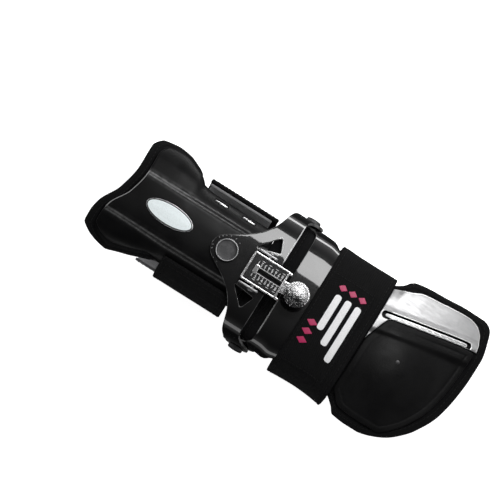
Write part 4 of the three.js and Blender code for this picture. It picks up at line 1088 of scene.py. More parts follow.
under_sheet = path_sheet(np.linspace(0, UNDER_WIDTH, 41), lambda u: under_line(u / UNDER_WIDTH))
under_length = under_sheet.ss[-1]
under = Build()
under.sheet(under_sheet, rectangle(EDGE, UNDER_WIDTH - EDGE, EDGE, under_length - EDGE, 1.5),
            -UNDER_HALF_THICKNESS, lambda u, s, gap: 0.88 + ripple(u, s, 0.06), 0.7,
            spacing=2.2, rings=(2.6,))
line = rectangle(2.4, UNDER_WIDTH - 2.4, 2.4, under_length - 2.4, 1.0)
stitch_line(under, under_sheet, resample(line, 1.0), 0.95, closed=True, slot=1)
under_band = under.make("under_band_cloth", "forearm", [grey_knit, thread], ["under_band"])

# Badge: an oval in two rims
badge_plane = Plane((-94.5, 0, PANEL_TOP + CLEARANCE))
turn = np.linspace(0, 2 * math.pi, 96, endpoint=False)


def oval(length, width):
    return np.column_stack([length / 2 * np.cos(turn), width / 2 * np.sin(turn)])


badge = Build()
badge.sheet(badge_plane, oval(37, 15.5), 0, 0.5, 0.25, spacing=1.5, slot=2)
badge.sheet(badge_plane, oval(36.3, 14.8), 0.3, 0.56, 0.1, spacing=1.5, slot=1)
badge.sheet(badge_plane, oval(34.7, 13.2), 0.4, lambda u, s, gap: 0.62 + 0.18 * smoothstep(0, 6, gap), 0.15,
            spacing=1.2, slot=0)
badge.make("badge_oval", "forearm", [badge_white, badge_rim, badge_edge], ["badge"])

# Yoke

yoke_arch = arch(
    (-68, 8), lambda x: YOKE_BOTTOM, lambda x: YOKE_BOTTOM - HINGE_Z,
    lambda x: YOKE_HALF[-1], lambda x: YOKE_HALF[1], YOKE_POWER, tail=12)
yoke_rear, yoke_front = curve(YOKE_REAR), curve(YOKE_FRONT)
YOKE_REACH = HINGE_X - PIVOT_X
YOKE_EAR, EAR_HOLE = 9.0, 2.8


def wall_place(surface, x, z, sign):
    """Distance across the sheet at which the wall on that side passes a height."""
    row = surface.grid[int(round(x - surface.us[0]))]
    side = surface.ss * sign >= 0
    run, height = np.abs(surface.ss[side])[::sign], row[side, 2][::sign]
    return float(np.interp(-z, -height, run))


yoke_ear_s = {sign: wall_place(yoke_arch, HINGE_X, HINGE_Z, sign) for sign in (-1, 1)}
shares = np.concatenate([np.linspace(0, 0.9, 46), np.linspace(0.91, 0.999, 30)])


def yoke_x(edge, share):
    return HINGE_X - YOKE_REACH * float(edge(share))


def yoke_side(sign):
    """The yoke's edge from the rear over one ear to the front, in its flat plane."""
    rear, front = (
        yoke_arch.flat([(yoke_x(edge, t), sign * t * YOKE_HALF[sign]) for t in shares])
        for edge in (yoke_rear, yoke_front))
    a = np.linspace(math.pi, 0, 41)
    ear = np.column_stack([HINGE_X + YOKE_EAR * np.cos(a), sign * (yoke_ear_s[sign] + YOKE_EAR * np.sin(a))])
    return np.vstack([rear, ear, front[::-1]])


yoke_outline = np.vstack([yoke_side(1), yoke_side(-1)[::-1][1:-1]])

BRACKET_INNER = DIAL_WIDTH / 2 + 1.5
BRACKET_THICKNESS = 1.6


def yoke_window(sign):
    inner = DIAL_Y + sign * (BRACKET_INNER + BRACKET_THICKNESS + 0.5)
    places = ((0.61, inner), (0.3, sign * 28.5), (0.19, sign * 18))
    corners = [(HINGE_X - share * YOKE_REACH, y) for share, y in places]
    return yoke_arch.flat(resample(rounded(corners, [0.8, 1.6, 1.0], 5), 0.6))


yoke = Build()
yoke.sheet(yoke_arch, yoke_outline, 0, YOKE_THICKNESS, 0.55, under=0.3, spacing=1.4,
           holes=[yoke_window(-1), yoke_window(1),
                  *(circle(HINGE_X, sign * yoke_ear_s[sign], EAR_HOLE) for sign in (1, -1))])
bracket_base, bracket_top = YOKE_BOTTOM + 1.2, TRUNNION_Z + 2.3
bracket_rear, bracket_front = -30, -14.4
for sign in (-1, 1):
    near = DIAL_Y + sign * BRACKET_INNER
    far = near + sign * BRACKET_THICKNESS
    wall = Plane((0, max(near, far), 0), (1, 0, 0), (0, 0, 1))
    corners = [(bracket_rear, bracket_base), (bracket_front, bracket_base),
               (bracket_front, bracket_top), (bracket_rear, bracket_top)]
    yoke.sheet(wall, rounded(corners, [0.3, 0.3, 1.6, 1.6], 6), 0, BRACKET_THICKNESS, 0.35,
               spacing=1.6, holes=[circle(TRUNNION_X, TRUNNION_Z, 1.8, 28)], slot=1)
# Detents round the pivot, as far as the yoke reaches under them
DETENT_RING = 10.4
detent_rows = [(0.55, -0.2), (0.55, 0.08), (0.42, 0.25), (0.2, 0.34), (0.04, 0.36)]
for angle in (-172, -158, -120, -100, 60, 82, 104, 122, 136, 150):
    a = math.radians(angle)
    x, y = PIVOT_X + DETENT_RING * math.cos(a), DETENT_RING * math.sin(a)
    if yoke_x(yoke_rear, abs(y) / YOKE_HALF[1]) + 1.0 <= x:
        yoke.add(*lathe(detent_rows, 14, (x, y, YOKE_TOP)), slot=2)
yoke.make("yoke_bent", "yoke_body", [paint, bracket_steel, dot_metal], ["yoke"])

# Foam tongue that runs from under the plate's panel to under the yoke, with a wing at each side in front
LINER_REAR, LINER_FRONT, LINER_FLOOR, LINER_THICKNESS = -40, -11.9, 60.4, 2.2
LINER_HALF, LINER_WING_HALF = 14, 29
wing_x = FOREARM_FRONT + CLEARANCE
tongue_side = np.array([
    (LINER_REAR, LINER_HALF), (wing_x, LINER_HALF),
    (wing_x, LINER_WING_HALF), (LINER_FRONT, LINER_WING_HALF)])
tongue_loop = np.vstack([tongue_side * (1, -1), tongue_side[::-1]])
liner = Build()
add_pad(liner, Plane((0, 0, LINER_FLOOR)), resample(tongue_loop, 1.2), 0.0, LINER_THICKNESS - 0.5, 0.8,
        border=1.6, stitches=False)
wrist_liner = liner.make(
    "wrist_liner_soft", "forearm", [jersey, binding, lining], ["wrist_liner"])

# Turned and knurled pieces


def knurl(teeth, depth, rows):
    """Radius wobble with that many teeth, on the given profile rows."""
    return lambda a, k: 1 - depth * (0.5 + 0.5 * np.cos(teeth * a)) if k in rows else np.ones(len(a))


pivot = Build()
r = 8.2
pivot_rows = [
    (3, -YOKE_THICKNESS - CLEARANCE - PLATE_THICKNESS), (3, 0), (r - 0.5, 0), (r - 0.1, 0.3), (r, 0.6),
    (r, 2.6), (r - 0.12, 3.0), (r - 0.45, 3.45), (r - 0.9, 3.6), (r - 1.35, 3.45), (r - 1.55, 3.05),
    (r - 1.9, 2.95), (r * 0.5, 3.05), (r * 0.25, 3.12), (0.02, 3.15)]
pivot_floor = YOKE_TOP + CLEARANCE
pivot.add(*lathe(pivot_rows, 144, (PIVOT_X, 0, pivot_floor), knurl(48, 0.035, (3, 4, 5))))
pivot.sheet(Plane((0, 0, pivot_floor + 3.3)), circle(PIVOT_X, 0, r - 0.35, 72), 0, 0.4, 0.12,
            spacing=1.0, holes=[circle(PIVOT_X, 0, r - 1.0, 72)], slot=1)
pivot.make("pivot_knob_turned", "pivot_knob_body", [knob_face, bracket_steel], ["pivot_knob"])

for name, sign in (("pinky", -1), ("thumb", 1)):
    screw = Build()
    head_from = YOKE_HALF[sign] + YOKE_THICKNESS + CLEARANCE
    screw_rows = [
        (2.5, WALL_INNER[sign] + CLEARANCE - head_from), (2.5, 0), (5.2, 0), (5.45, 0.2), (5.5, 0.5),
        (5.5, 1.7), (5.3, 2.1), (4.9, 2.45), (4.2, 2.6), (2.4, 2.6), (2.2, 2.45), (2.1, 1.2), (0.02, 1.1)]
    add_sideways(screw, screw_rows, 120, (HINGE_X, sign * head_from, HINGE_Z), sign, knurl(36, 0.05, (4, 5)))
    screw.make(f"hinge_screw_{name}_knurled", "yoke_body", dark_metal, [f"hinge_screw_{name}"])
    pin = Build()
    outer = BRACKET_INNER + BRACKET_THICKNESS + CLEARANCE
    pin_rows = [
        (1.5, DIAL_WIDTH / 2 - DIAL_WALL - outer), (1.5, 0), (2.35, 0), (2.5, 0.2), (2.45, 0.6), (2.1, 0.95),
        (1.4, 1.15), (0.02, 1.2)]
    add_sideways(pin, pin_rows, 40, (TRUNNION_X, DIAL_Y + sign * outer, TRUNNION_Z), sign)
    pin.make(f"dial_pin_{name}_domed", "yoke_body", bracket_steel, [f"dial_pin_{name}"])

# Dial

dial_plane = Plane((0, 0, DIAL_FLOOR_Z))
x0, x1 = DIAL_X - DIAL_LENGTH / 2, DIAL_X + DIAL_LENGTH / 2
y0, y1 = DIAL_Y - DIAL_WIDTH / 2, DIAL_Y + DIAL_WIDTH / 2
SLOT_REAR, SLOT_LENGTH, SLOT_WIDTH = -25.8, 21.4, 2.8
SLOT_HALF = SLOT_WIDTH / 2
dial_slot = rectangle(SLOT_REAR, SLOT_REAR + SLOT_LENGTH, DIAL_Y - SLOT_HALF, DIAL_Y + SLOT_HALF, 0.5)

dial = Build()
wall = DIAL_WALL
dial.sheet(dial_plane, rectangle(x0, x1, y0, y1, 0.7), 0, DIAL_HEIGHT, 0.45, spacing=1.6,
           holes=[rectangle(x0 + wall, x1 - wall, y0 + wall, y1 - wall, 0.4)])
dial.sheet(dial_plane, rectangle(x0 + 0.3, x1 - 0.3, y0 + 0.3, y1 - 0.3, 0.4), 0.05, DIAL_FLOOR, 0.15,
           holes=[dial_slot])
TONGUE_HALF = 4.5
tongue = [(x1 - 0.6, DIAL_Y - TONGUE_HALF), (KNOB_X, DIAL_Y - TONGUE_HALF)]
tongue += [(KNOB_X + TONGUE_HALF * math.sin(a), DIAL_Y - TONGUE_HALF * math.cos(a))
           for a in np.linspace(0.1, math.pi - 0.1, 20)]
tongue += [(KNOB_X, DIAL_Y + TONGUE_HALF), (x1 - 0.6, DIAL_Y + TONGUE_HALF)]
dial.sheet(dial_plane, np.array(tongue), 0, DIAL_FLOOR, 0.3, spacing=1.5,
           holes=[circle(KNOB_X, DIAL_Y, 2.3, 28)])
for sign in (-1, 1):
    lug_y = DIAL_Y + sign * (DIAL_WIDTH / 2 - 1.0)
    dial.sheet(dial_plane, rectangle(x1 - 0.5, x1 + 2, lug_y - 1, lug_y + 1, 0.4), 0, DIAL_HEIGHT - 2, 0.4,
               spacing=1.0)
dial.make("dial_frame_chromed", "dial", frame_chrome, ["dial_frame"])

scale = Build()
inner = wall + CLEARANCE
scale_plane = Plane((0, 0, SCALE_TOP))
scale.sheet(scale_plane, rectangle(x0 + inner, x1 - inner, y0 + inner, y1 - inner, 0.3), -1.2, 0, 0.15,
            spacing=1.5, holes=[dial_slot])


def mark(x, y, half_x, half_y):
    """A raised bar on the scale round a middle."""
    loop = rectangle(x - half_x, x + half_x, y - half_y, y + half_y, 0.08)
    scale.sheet(scale_plane, loop, -0.1, 0.22, 0.07, spacing=1.0, slot=1)


STEPS = 8
step_places = [SLOT_REAR + 1.2 + k * (SLOT_LENGTH - 2.4) / (STEPS - 1) for k in range(STEPS)]
for sign in (-1, 1):
    edge = DIAL_Y + sign * (SLOT_HALF + 0.75)
    mark(SLOT_REAR + SLOT_LENGTH / 2, edge, SLOT_LENGTH / 2, 0.14)
    for k, x in enumerate(step_places):
        mark(x, edge + sign * 0.925, 0.16, 0.625)
        if k % 2:
            mark(x, DIAL_Y + sign * 7.175, 1.1, 0.175)


def digit(text, x, y, upside_down):
    """A raised figure with its middle at x and y on the scale."""
    data = bpy.data.curves.new("figure", "FONT")
    data.body = text
    data.size = 3.1
    data.extrude = 0.12
    data.resolution_u = 3
    data.align_x, data.align_y = "CENTER", "CENTER"
    figure = bpy.data.objects.new("figure", data)
    bpy.context.scene.collection.objects.link(figure)
    bpy.context.view_layer.update()
    shape = bpy.data.meshes.new_from_object(figure.evaluated_get(bpy.context.evaluated_depsgraph_get()))
    points = np.array([v.co for v in shape.vertices])
    faces = [tuple(p.vertices) for p in shape.polygons]
    bpy.data.objects.remove(figure)
    bpy.data.curves.remove(data)
    points[:, :2] *= -1 if upside_down else 1
    scale.add(points + np.array([x, y, SCALE_TOP + 0.08]), faces, slot=1)


for sign in (-1, 1):
    for k, x in enumerate(step_places):
        digit(str(k + 1), x, DIAL_Y + sign * 5.1, sign > 0)
scale.make("scale_plate_marked", "dial", [dial_face, scale_print], ["scale_plate"])

# Pointer and link. The pointer's head lies over the scale and its stem goes down through the slot
POINTER_X = -24.0
LINK_TOP = DIAL_FLOOR_Z - 2 * CLEARANCE
LINK_THICKNESS, LINK_HALF, LINK_REAR, LINK_FRONT = 1.2, 3.0, -25.5, 14.0
LUG_TOP = HAND_TOP + SEAT + HAND_PLATE + 2.4
pointer = Build()
head_low = SCALE_TOP + CLEARANCE
stem_low = LINK_TOP + CLEARANCE
head = rectangle(POINTER_X - 1.5, POINTER_X + 1.5, DIAL_Y - 3.2, DIAL_Y + 3.2, 0.4)
stem = rectangle(POINTER_X - 1.4, POINTER_X + 1.4, DIAL_Y - 1.05, DIAL_Y + 1.05, 0.3)
pointer.sheet(Plane((0, 0, head_low)), head, 0, 1.0, 0.3, spacing=1.0)
pointer.sheet(Plane((0, 0, stem_low)), stem, 0, head_low - stem_low + 0.2, 0.1, spacing=1.0)
pointer.make("pointer_tee", "slider", chrome, ["pointer"])

link = Build()
bar = rectangle(LINK_REAR, LINK_FRONT, DIAL_Y - LINK_HALF, DIAL_Y + LINK_HALF, 0.8)
link.sheet(Plane((0, 0, LINK_TOP - LINK_THICKNESS)), bar, 0, LINK_THICKNESS, 0.25, spacing=1.5)
foot = rectangle(DIAL_Y - LINK_HALF, DIAL_Y + LINK_HALF, LUG_TOP + CLEARANCE, LINK_TOP - 0.4, 0.5)
link.sheet(Plane((LINK_FRONT - 2, 0, 0), (0, 1, 0), (0, 0, 1)), foot, 0, 2.0, 0.3, spacing=1.2)
link.make("adjuster_link_bent", "slider", dark_metal, ["adjuster_link"])

knob = Build()
r = KNOB_RADIUS
knob_rows = [
    (2, -DIAL_FLOOR - CLEARANCE), (2, 0), (r - 1.2, 0), (r - 0.6, 0.15), (r - 0.15, 0.5), (r, 0.9), (r, 1.8),
    (r, 2.7), (r - 0.15, 3.2), (r - 0.6, 3.55), (r - 1.1, 3.62), (r - 1.5, 3.75), (r * 0.8, 4.35),
    (r * 0.72, 5.0), (r * 0.6, 5.75), (r * 0.45, 6.45), (r * 0.3, 6.95), (r * 0.15, 7.25), (0.02, 7.38)]
knob_floor = DIAL_FLOOR_Z + DIAL_FLOOR + CLEARANCE
knob.add(*lathe(knob_rows, 168, (KNOB_X, DIAL_Y, knob_floor), knurl(42, 0.04, (5, 6, 7))))
knob.make("thumb_knob_domed", "thumb_knob_body", dome_chrome, ["thumb_knob"], angle=50)

# Hand

hand_pinky, hand_thumb = curve(HAND_PINKY), curve(HAND_THUMB)
hand_fall, hand_sagging, hand_front = curve(HAND_FALL), curve(HAND_SAGGING), curve(HAND_FRONT)


def hand_along(x):
    return (np.asarray(x, float) - HAND_REAR) / HAND_LENGTH


def hand_half(x, side):
    return HAND_HALF * (hand_thumb if side > 0 else hand_pinky)(hand_along(x))


def hand_front_x(share):
    return HAND_REAR + HAND_LENGTH * float(hand_front(share))


hand_arch = arch(
    (-20, 148), lambda x: HAND_TOP - HAND_SAG * hand_sagging(hand_along(x)),
    lambda x: HAND_DROP * hand_fall(hand_along(x)),
    lambda x: hand_half(x, -1), lambda x: hand_half(x, 1), HAND_POWER, tail=12)


def hand_outline(reach):
    xs = [(hand_front_x(share), share) for share in np.linspace(reach, -reach, 141)]
    front = [(x, share * float(hand_half(x, side_of(share)))) for x, share in xs]
    thumb = [(x, reach * float(hand_half(x, 1))) for x in np.linspace(HAND_PAD_REAR, front[0][0], 100)[:-1]]
    pinky = [(x, -reach * float(hand_half(x, -1))) for x in np.linspace(front[-1][0], HAND_PAD_REAR, 100)[1:]]
    return np.array(thumb + front + pinky)


pad = Build()
add_pad(pad, hand_arch, hand_arch.flat(hand_outline(0.992)), -PAD_THICKNESS, -0.12, 2.1)
hand_pad = pad.make("hand_pad_soft", "hand", [jersey, binding, lining, thread], ["hand_pad"])

# Hand plate, with an ear at each side
HAND_EAR = 8.0


def hand_plate_side(sign):
    """The plate's edge from the middle of its rear, round one ear and along the side."""
    ear = wall_place(hand_arch, HINGE_X, HINGE_Z, sign)
    neck = [(0, 0), (0, ear - 20), (-0.6, ear - 15), (-3.5, ear - 10.5), (-9.5, ear - 8.5),
            (-13.8, ear - 4.2)]
    a = np.linspace(math.pi, 0, 31)
    disc = [*zip(HINGE_X + HAND_EAR * np.cos(a), ear + HAND_EAR * np.sin(a))]
    front_neck = [(2.6, ear + 1.5), (4.2, ear - 2.0), (5.2, ear - 3.6)]
    line = np.array(neck + disc + front_neck) * np.array([1, sign])
    side = []
    for x in np.linspace(6, HAND_PLATE_FRONT, 40):
        trim = 1 - 0.04 * float(smoothstep(BAND_REAR - 8, BAND_REAR - 1, x))
        side.append((x, sign * 0.99 * trim * float(hand_half(x, sign))))
    return np.vstack([line, hand_arch.flat(side)]), ear


thumb_part, thumb_ear = hand_plate_side(1)
pinky_part, pinky_ear = hand_plate_side(-1)
plate_outline = np.vstack([thumb_part, pinky_part[1:][::-1]])
hand_plate = Build()
hand_plate.sheet(hand_arch, plate_outline, SEAT, SEAT + HAND_PLATE, 0.5, under=0.3, spacing=1.5,
                 holes=[circle(HINGE_X, thumb_ear, EAR_HOLE), circle(HINGE_X, -pinky_ear, EAR_HOLE)])
lug = Plane((0, 0, HAND_TOP + SEAT + HAND_PLATE - 0.8))
hand_plate.sheet(lug, rectangle(10, 16, DIAL_Y - 3, DIAL_Y + 3, 0.8), 0, 3.2, 0.5, spacing=1.2, slot=1)
hand_plate.make("hand_plate_bent", "hand", [hand_paint, bright], ["hand_plate"])

# Band: a closed loop over the plate and flat underneath
BAND_LIFT = SEAT + HAND_PLATE + 2 * CLEARANCE + BAND_THICKNESS / 2
BAND_CORNER, BAND_BULGE, BAND_UPRIGHT = 21.0, 1.0, 10.0


def band_line(x):
    """Closed line in YZ from the underside's middle, up the pinky side, over the top and down again."""
    floor = BAND_THICKNESS / 2
    over = [hand_arch.above(x, share * float(hand_half(x, side_of(share))), BAND_LIFT)[1:]
            for share in np.linspace(-0.975, 0.975, 61)]

    def down(sign):
        reach = float(hand_half(x, sign)) + BAND_LIFT + BAND_BULGE
        corner = [(sign * (reach - BAND_CORNER * (1 - math.cos(a))), floor + BAND_CORNER * (1 - math.sin(a)))
                  for a in np.linspace(0, 1, 13) * math.pi / 2]
        return [(sign * (reach - BAND_BULGE / 4), floor + BAND_CORNER + BAND_UPRIGHT), *corner]

    thumb, pinky = down(1), down(-1)
    line = [(0, floor), *pinky[::-1], *over, *thumb, (0, floor)]
    smooth = spline(line, 420)
    smooth[:, 1] = np.maximum(smooth[:, 1], floor)
    return np.column_stack([np.full(len(smooth), x), smooth])


band_sheet = path_sheet(np.linspace(BAND_REAR, BAND_FRONT, 46), band_line)
band_length = band_sheet.ss[-1]
top_row = band_sheet.grid[10]
band_middle = float(band_sheet.ss[np.argmin(np.abs(top_row[:, 1]) + 100 * (top_row[:, 2] < 30))])
band = Build()
half = BAND_THICKNESS / 2


def band_top(u, s, gap):
    seam = -0.16 * np.exp(-((gap - 2.6) / 0.5) ** 2)
    return half - 0.1 + ripple(u, s, 0.09) + 0.1 * smoothstep(0, 4, gap) + seam


def over_band(lift):
    """That far over the band's cloth, with the same unevenness."""
    return lambda u, s, gap: half + lift + ripple(u, s, 0.09)


band.sheet(band_sheet, rectangle(BAND_REAR + EDGE, BAND_FRONT - EDGE, EDGE, band_length - EDGE, 0.4), -half,
           band_top, 0.9, spacing=1.9, rings=(2.0, 2.6, 3.2))
for at in (BAND_REAR + 3.2, BAND_FRONT - 3.2):
    line = np.array([(at, s) for s in np.linspace(2, band_length - 2, 300)])
    stitch_line(band, band_sheet, line, half - 0.02, slot=1)
# Stitched tab on the band, more of it on the pinky side
tab = rectangle(BAND_REAR + 1.2, BAND_FRONT - 7, band_middle - 43, band_middle + 30, 3)
band.sheet(band_sheet, tab, half - 0.5, over_band(0.42), 0.4, spacing=1.9, rings=(1.6,))
stitch_line(band, band_sheet, inset_ring(resample(tab, 1.0), 1.7, 1), half + 0.44, closed=True, slot=1)
hand_band = band.make("hand_band_cloth", "hand", [webbing, thread], ["hand_band"])

# Print on the band: plain bars and diamonds
art = Build()


def ink(corners, radius, slot):
    art.sheet(band_sheet, rounded(corners, radius, 6), over_band(0.3), over_band(0.56), 0.06,
              spacing=1.6, slot=slot)


def diamond(u, s, reach):
    ink([(u - reach, s), (u, s - 2.6), (u + reach, s), (u, s + 2.6)], 0.3, 1)


BAR_WIDTH, BAR_END = 5.0, band_middle + 16
for u, start in ((48.5, -28), (40.5, -20), (32.5, -12)):
    start += band_middle
    ink([(u, start), (u + BAR_WIDTH, start), (u + BAR_WIDTH, BAR_END), (u, BAR_END)], 2.4, 0)
for k in range(3):
    diamond(28.5, band_middle + (7.0 * k - 24), 4.2)
for k in range(3):
    diamond(34.5 + 8.0 * k, band_middle + 21.5, 3.4)
art.make("hand_band_print", "hand", [white_print, magenta_print])

# Fingers
finger_rail, finger_index = curve(RAIL_EDGE), curve(INDEX_EDGE)
RAIL_UNDER, RAIL_WIDTH, RAIL_THICKNESS = 5.0, 9.0, 1.2
INDEX_THICKNESS, INDEX_SLOT = 1.2, 5.5
INDEX_SLOT_REAR, INDEX_SLOT_FRONT = 69.2, 129.0
COVER_THICKNESS = 1.8
DOME_HEIGHT, DOME_X, DOME_Y, DOME_RX, DOME_RY = 6.0, 92.0, -10.0, 34.0, 38.0


def finger_along(x):
    return np.clip((np.asarray(x, float) - FINGER_REAR) / (FINGER_FRONT - FINGER_REAR), 0, 1)


def rail_y(x):
    return HAND_HALF * finger_rail(finger_along(x))


def cover_y(x):
    left = np.clip(1 - (np.asarray(x, float) - FINGER_REAR) / 8.5, 0, 1)
    return rail_y(x) - 19.5 * left ** 1.4


def index_y(x):
    return HAND_HALF * finger_index(finger_along(x))


def over_rail(x, y):
    low, high = rail_y(x) - RAIL_UNDER - 3.5, rail_y(x) + RAIL_WIDTH - RAIL_UNDER + 1
    rise = smoothstep(low - 4, low, y) * (1 - smoothstep(high, high + 5, y))
    return CLEARANCE + (CLEARANCE + RAIL_THICKNESS) * rise


def on_hand(rise):
    """An offset given by x and y, as one given by u and s."""
    return lambda u, s, gap: rise(hand_arch.at(u, s)[:, 0], hand_arch.at(u, s)[:, 1])


def along(xs, ys):
    return np.column_stack([xs, ys])


rail = Build()
xs = np.linspace(67.4, INDEX_SLOT_FRONT + 3, 60)
rail_edge = along(xs, rail_y(xs) - RAIL_UNDER)
rail_outline = np.vstack([rail_edge, (rail_edge + (0, RAIL_WIDTH))[::-1]])
rail_top = CLEARANCE + RAIL_THICKNESS
rail.sheet(hand_arch, hand_arch.flat(rail_outline), CLEARANCE, rail_top, 0.35, spacing=1.5)
# Bright strip with round ends, along the rail
STRIP_HALF = 1.3
strip = np.linspace(INDEX_SLOT_REAR + 1.2, INDEX_SLOT_FRONT - 1.2, 60)
middle = rail_y(strip) + INDEX_SLOT / 2
tip = np.linspace(0.15, math.pi - 0.15, 9)
strip_loop = np.vstack([
    along(strip, middle - STRIP_HALF),
    along(strip[-1] + STRIP_HALF * np.sin(tip), middle[-1] - STRIP_HALF * np.cos(tip)),
    along(strip, middle + STRIP_HALF)[::-1],
    along(strip[0] - STRIP_HALF * np.sin(tip), middle[0] + STRIP_HALF * np.cos(tip))])
rail.sheet(hand_arch, hand_arch.flat(strip_loop), rail_top - 0.1, rail_top + 0.55, 0.3, spacing=1.2, slot=1)
rail.make("finger_rail_bright", "hand", [cover_leather, satin], ["finger_rail"])

index = Build()
xs = np.concatenate([
    np.linspace(FINGER_REAR, 73, 20), np.linspace(74, 130, 60), np.linspace(130.6, FINGER_FRONT, 24)])
index_outline = np.vstack([along(xs, cover_y(xs) + 3 * CLEARANCE), along(xs, index_y(xs))[::-1]])


def slot_loop():
    """The slot with round ends; past the cover's cut corner its lower edge lies under the cover."""
    round_end = INDEX_SLOT / 2
    xs = np.linspace(INDEX_SLOT_REAR, INDEX_SLOT_FRONT, 90)
    low = np.maximum(rail_y(xs), cover_y(xs) + 3 * CLEARANCE + 0.3)
    a = np.linspace(0, math.pi, 11)[1:-1]
    middle = float(rail_y(INDEX_SLOT_FRONT)) + round_end
    front_y = np.maximum(middle + round_end * np.cos(a), low[-1] + 0.2)
    front = along(INDEX_SLOT_FRONT + round_end * np.sin(a), front_y)
    middle = float(rail_y(INDEX_SLOT_REAR)) + round_end
    rear = along(INDEX_SLOT_REAR - round_end * np.sin(a), middle - round_end * np.cos(a))
    return np.vstack([along(xs, rail_y(xs) + INDEX_SLOT), front, along(xs, low)[::-1], rear])


index.sheet(hand_arch, hand_arch.flat(index_outline), on_hand(over_rail),
            on_hand(lambda x, y: over_rail(x, y) + INDEX_THICKNESS), 0.35,
            under=0.2, spacing=1.4, step=0.7, holes=[hand_arch.flat(slot_loop())])
index.make("index_plate_bent", "hand", satin, ["index_plate"])


def dome(x, y):
    share = ((x - DOME_X) / DOME_RX) ** 2 + ((y - DOME_Y) / DOME_RY) ** 2
    return DOME_HEIGHT * np.clip(1 - share, 0, 1) ** 2


def cover_outline():
    """The cover's edge as evenly spaced points, with its sharp corners eased."""
    def low(x):
        return -(float(hand_half(x, -1)) - COVER_MARGIN)

    rear_x = BAND_FRONT + 0.8
    shares = np.linspace(-0.86, 0.54, 90)
    front = []
    for k, share in enumerate(shares):
        x = hand_front_x(share) - COVER_MARGIN
        front.append((x, low(x) + (float(cover_y(x)) - low(x)) * k / (len(shares) - 1)))
    pinky = [(x, low(x)) for x in np.linspace(rear_x, front[0][0], 40)[:-1]]
    thumb = [(x, float(cover_y(x))) for x in np.linspace(front[-1][0], rear_x, 70)[1:]]
    even = resample(np.array(pinky + front + thumb), 0.8)
    for _ in range(6):
        even = 0.5 * even + 0.25 * (np.roll(even, 1, axis=0) + np.roll(even, -1, axis=0))
    return even


cover = Build()
SEAM = 4.2


def cover_low(x, y):
    return over_rail(x, y) + dome(x, y)


def cover_high(u, s, gap):
    groove = -0.2 * np.exp(-((gap - SEAM) / 0.45) ** 2)
    crown = 0.1 * smoothstep(SEAM, SEAM + 4, gap)
    return on_hand(cover_low)(u, s, gap) + COVER_THICKNESS + groove + crown + ripple(u, s, 0.05)


cover.sheet(hand_arch, hand_arch.flat(cover_outline()), on_hand(cover_low), cover_high, 0.8, under=0.3,
            spacing=1.5, rings=(SEAM - 0.6, SEAM, SEAM + 0.6))
RIVET = (92.8, -2.1)
rivet_rows = [(1.5, 0), (1.5, 0.25), (1.25, 0.5), (0.8, 0.66), (0.3, 0.72), (0.02, 0.72)]
rivet_lift = float(cover_low(*RIVET)) + COVER_THICKNESS + 0.2
cover.add(*lathe(rivet_rows, 32, hand_arch.above(*RIVET, rivet_lift)), slot=1)
cover.make("knuckle_cover_moulded", "hand", [cover_leather, dark_metal], ["knuckle_cover"])


# Stage, lights and camera


def lamp(name, centre, target, size, power):
    """Soft box: an area light of that size in mm, aimed at a place on the part."""
    data = bpy.data.lights.new(name, "AREA")
    data.shape = "RECTANGLE"
    data.size, data.size_y = size[0] / 1000, size[1] / 1000
    data.energy = power
    light = bpy.data.objects.new(name, data)
    bpy.context.scene.collection.objects.link(light)
    light.location = place(centre)
    aim = Vector(place(target)) - Vector(place(centre))
    light.rotation_euler = aim.to_track_quat("-Z", "Y").to_euler()
    light.visible_camera = False


FLOOR_REACH, FLOOR_GAP = 6.0, 0.0002
floor_mesh = bpy.data.meshes.new("floor")
floor_corners = [(FLOOR_REACH * x, FLOOR_REACH * y, 0) for x, y in ((-1, -1), (1, -1), (1, 1), (-1, 1))]
floor_mesh.from_pydata(floor_corners, [], [(0, 1, 2, 3)])
floor_finish = Nodes("floor_paper", (0.93, 0.93, 0.93), 0.95, specular=0.0)
floor_finish.shader.inputs["Emission Color"].default_value = (1, 1, 1, 1)
floor_finish.shader.inputs["Emission Strength"].default_value = 0.85
floor_mesh.materials.append(floor_finish.material)
floor = bpy.data.objects.new("floor", floor_mesh)
floor.location.z = -FLOOR_GAP
bpy.context.scene.collection.objects.link(floor)
floor.visible_glossy = False

lamp("key_softbox", (55, 215, 520), (30, 20, 60), (250, 200), 1.6)
lamp("ridge_strip", (-60, 620, 190), (-70, 10, 60), (420, 90), 1.4)
lamp("pinky_fill", (-40, -620, 260), (-40, 0, 50), (420, 160), 0.5)
lamp("rear_strip", (-700, 160, 170), (-140, 10, 60), (90, 260), 0.6)

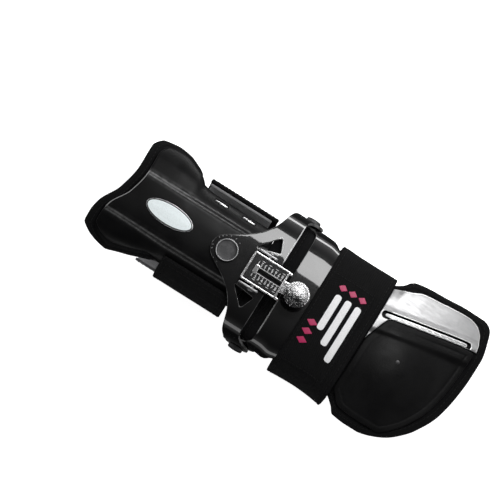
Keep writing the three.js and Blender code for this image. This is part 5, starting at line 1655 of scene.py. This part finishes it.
world = bpy.data.worlds.new("studio")
bpy.context.scene.world = world
world.use_nodes = True
tree = world.node_tree
background = next(n for n in tree.nodes if n.type == "BACKGROUND")
background.inputs["Color"].default_value = (1, 1, 1, 1)
where = tree.nodes.new("ShaderNodeTexCoord")
split = tree.nodes.new("ShaderNodeSeparateXYZ")
tree.links.new(where.outputs["Generated"], split.inputs[0])
strength = None
# Brightness of the sky: less towards the top, little below the floor's level, less on the pinky side
for axis, span in ((2, (0.35, 0.8, 1.0, 0.2)), (2, (-0.12, 0.02, 0.06, 1.0)), (1, (-0.7, 0.3, 0.3, 1.0))):
    share = tree.nodes.new("ShaderNodeMapRange")
    share.interpolation_type = "SMOOTHSTEP"
    for socket, value in zip(share.inputs[1:5], span):
        socket.default_value = value
    tree.links.new(split.outputs[axis], share.inputs[0])
    if strength is None:
        strength = share.outputs[0]
        continue
    product = tree.nodes.new("ShaderNodeMath")
    product.operation = "MULTIPLY"
    tree.links.new(strength, product.inputs[0])
    tree.links.new(share.outputs[0], product.inputs[1])
    strength = product.outputs[0]
tree.links.new(strength, background.inputs["Strength"])

# The camera looks down from well above with a long lens, turned so that +X runs down to the right
ELEVATION = math.radians(82)
RIGHT_X, RIGHT_Y = 0.847, 0.532
DISTANCE, FIELD, SENSOR = 2.2, 0.35, 36.0
back = Vector((0, -math.cos(ELEVATION), math.sin(ELEVATION)))
level = Vector((0, math.sin(ELEVATION), math.cos(ELEVATION)))
right = Vector((1, 0, 0)) * RIGHT_X + level * RIGHT_Y
up = -Vector((1, 0, 0)) * RIGHT_Y + level * RIGHT_X
turn_matrix = Matrix((right, up, back)).transposed().to_4x4()
camera_data = bpy.data.cameras.new("camera")
camera_data.sensor_width = SENSOR
camera_data.lens = SENSOR * DISTANCE / FIELD
camera_data.clip_end = 30
camera = bpy.data.objects.new("camera", camera_data)
bpy.context.scene.collection.objects.link(camera)
target = Vector(place((-34.5, 12.8, 40)))
camera.matrix_world = Matrix.Translation(target + back * DISTANCE) @ turn_matrix
bpy.context.scene.camera = camera
bpy.context.scene.view_settings.view_transform = "Standard"
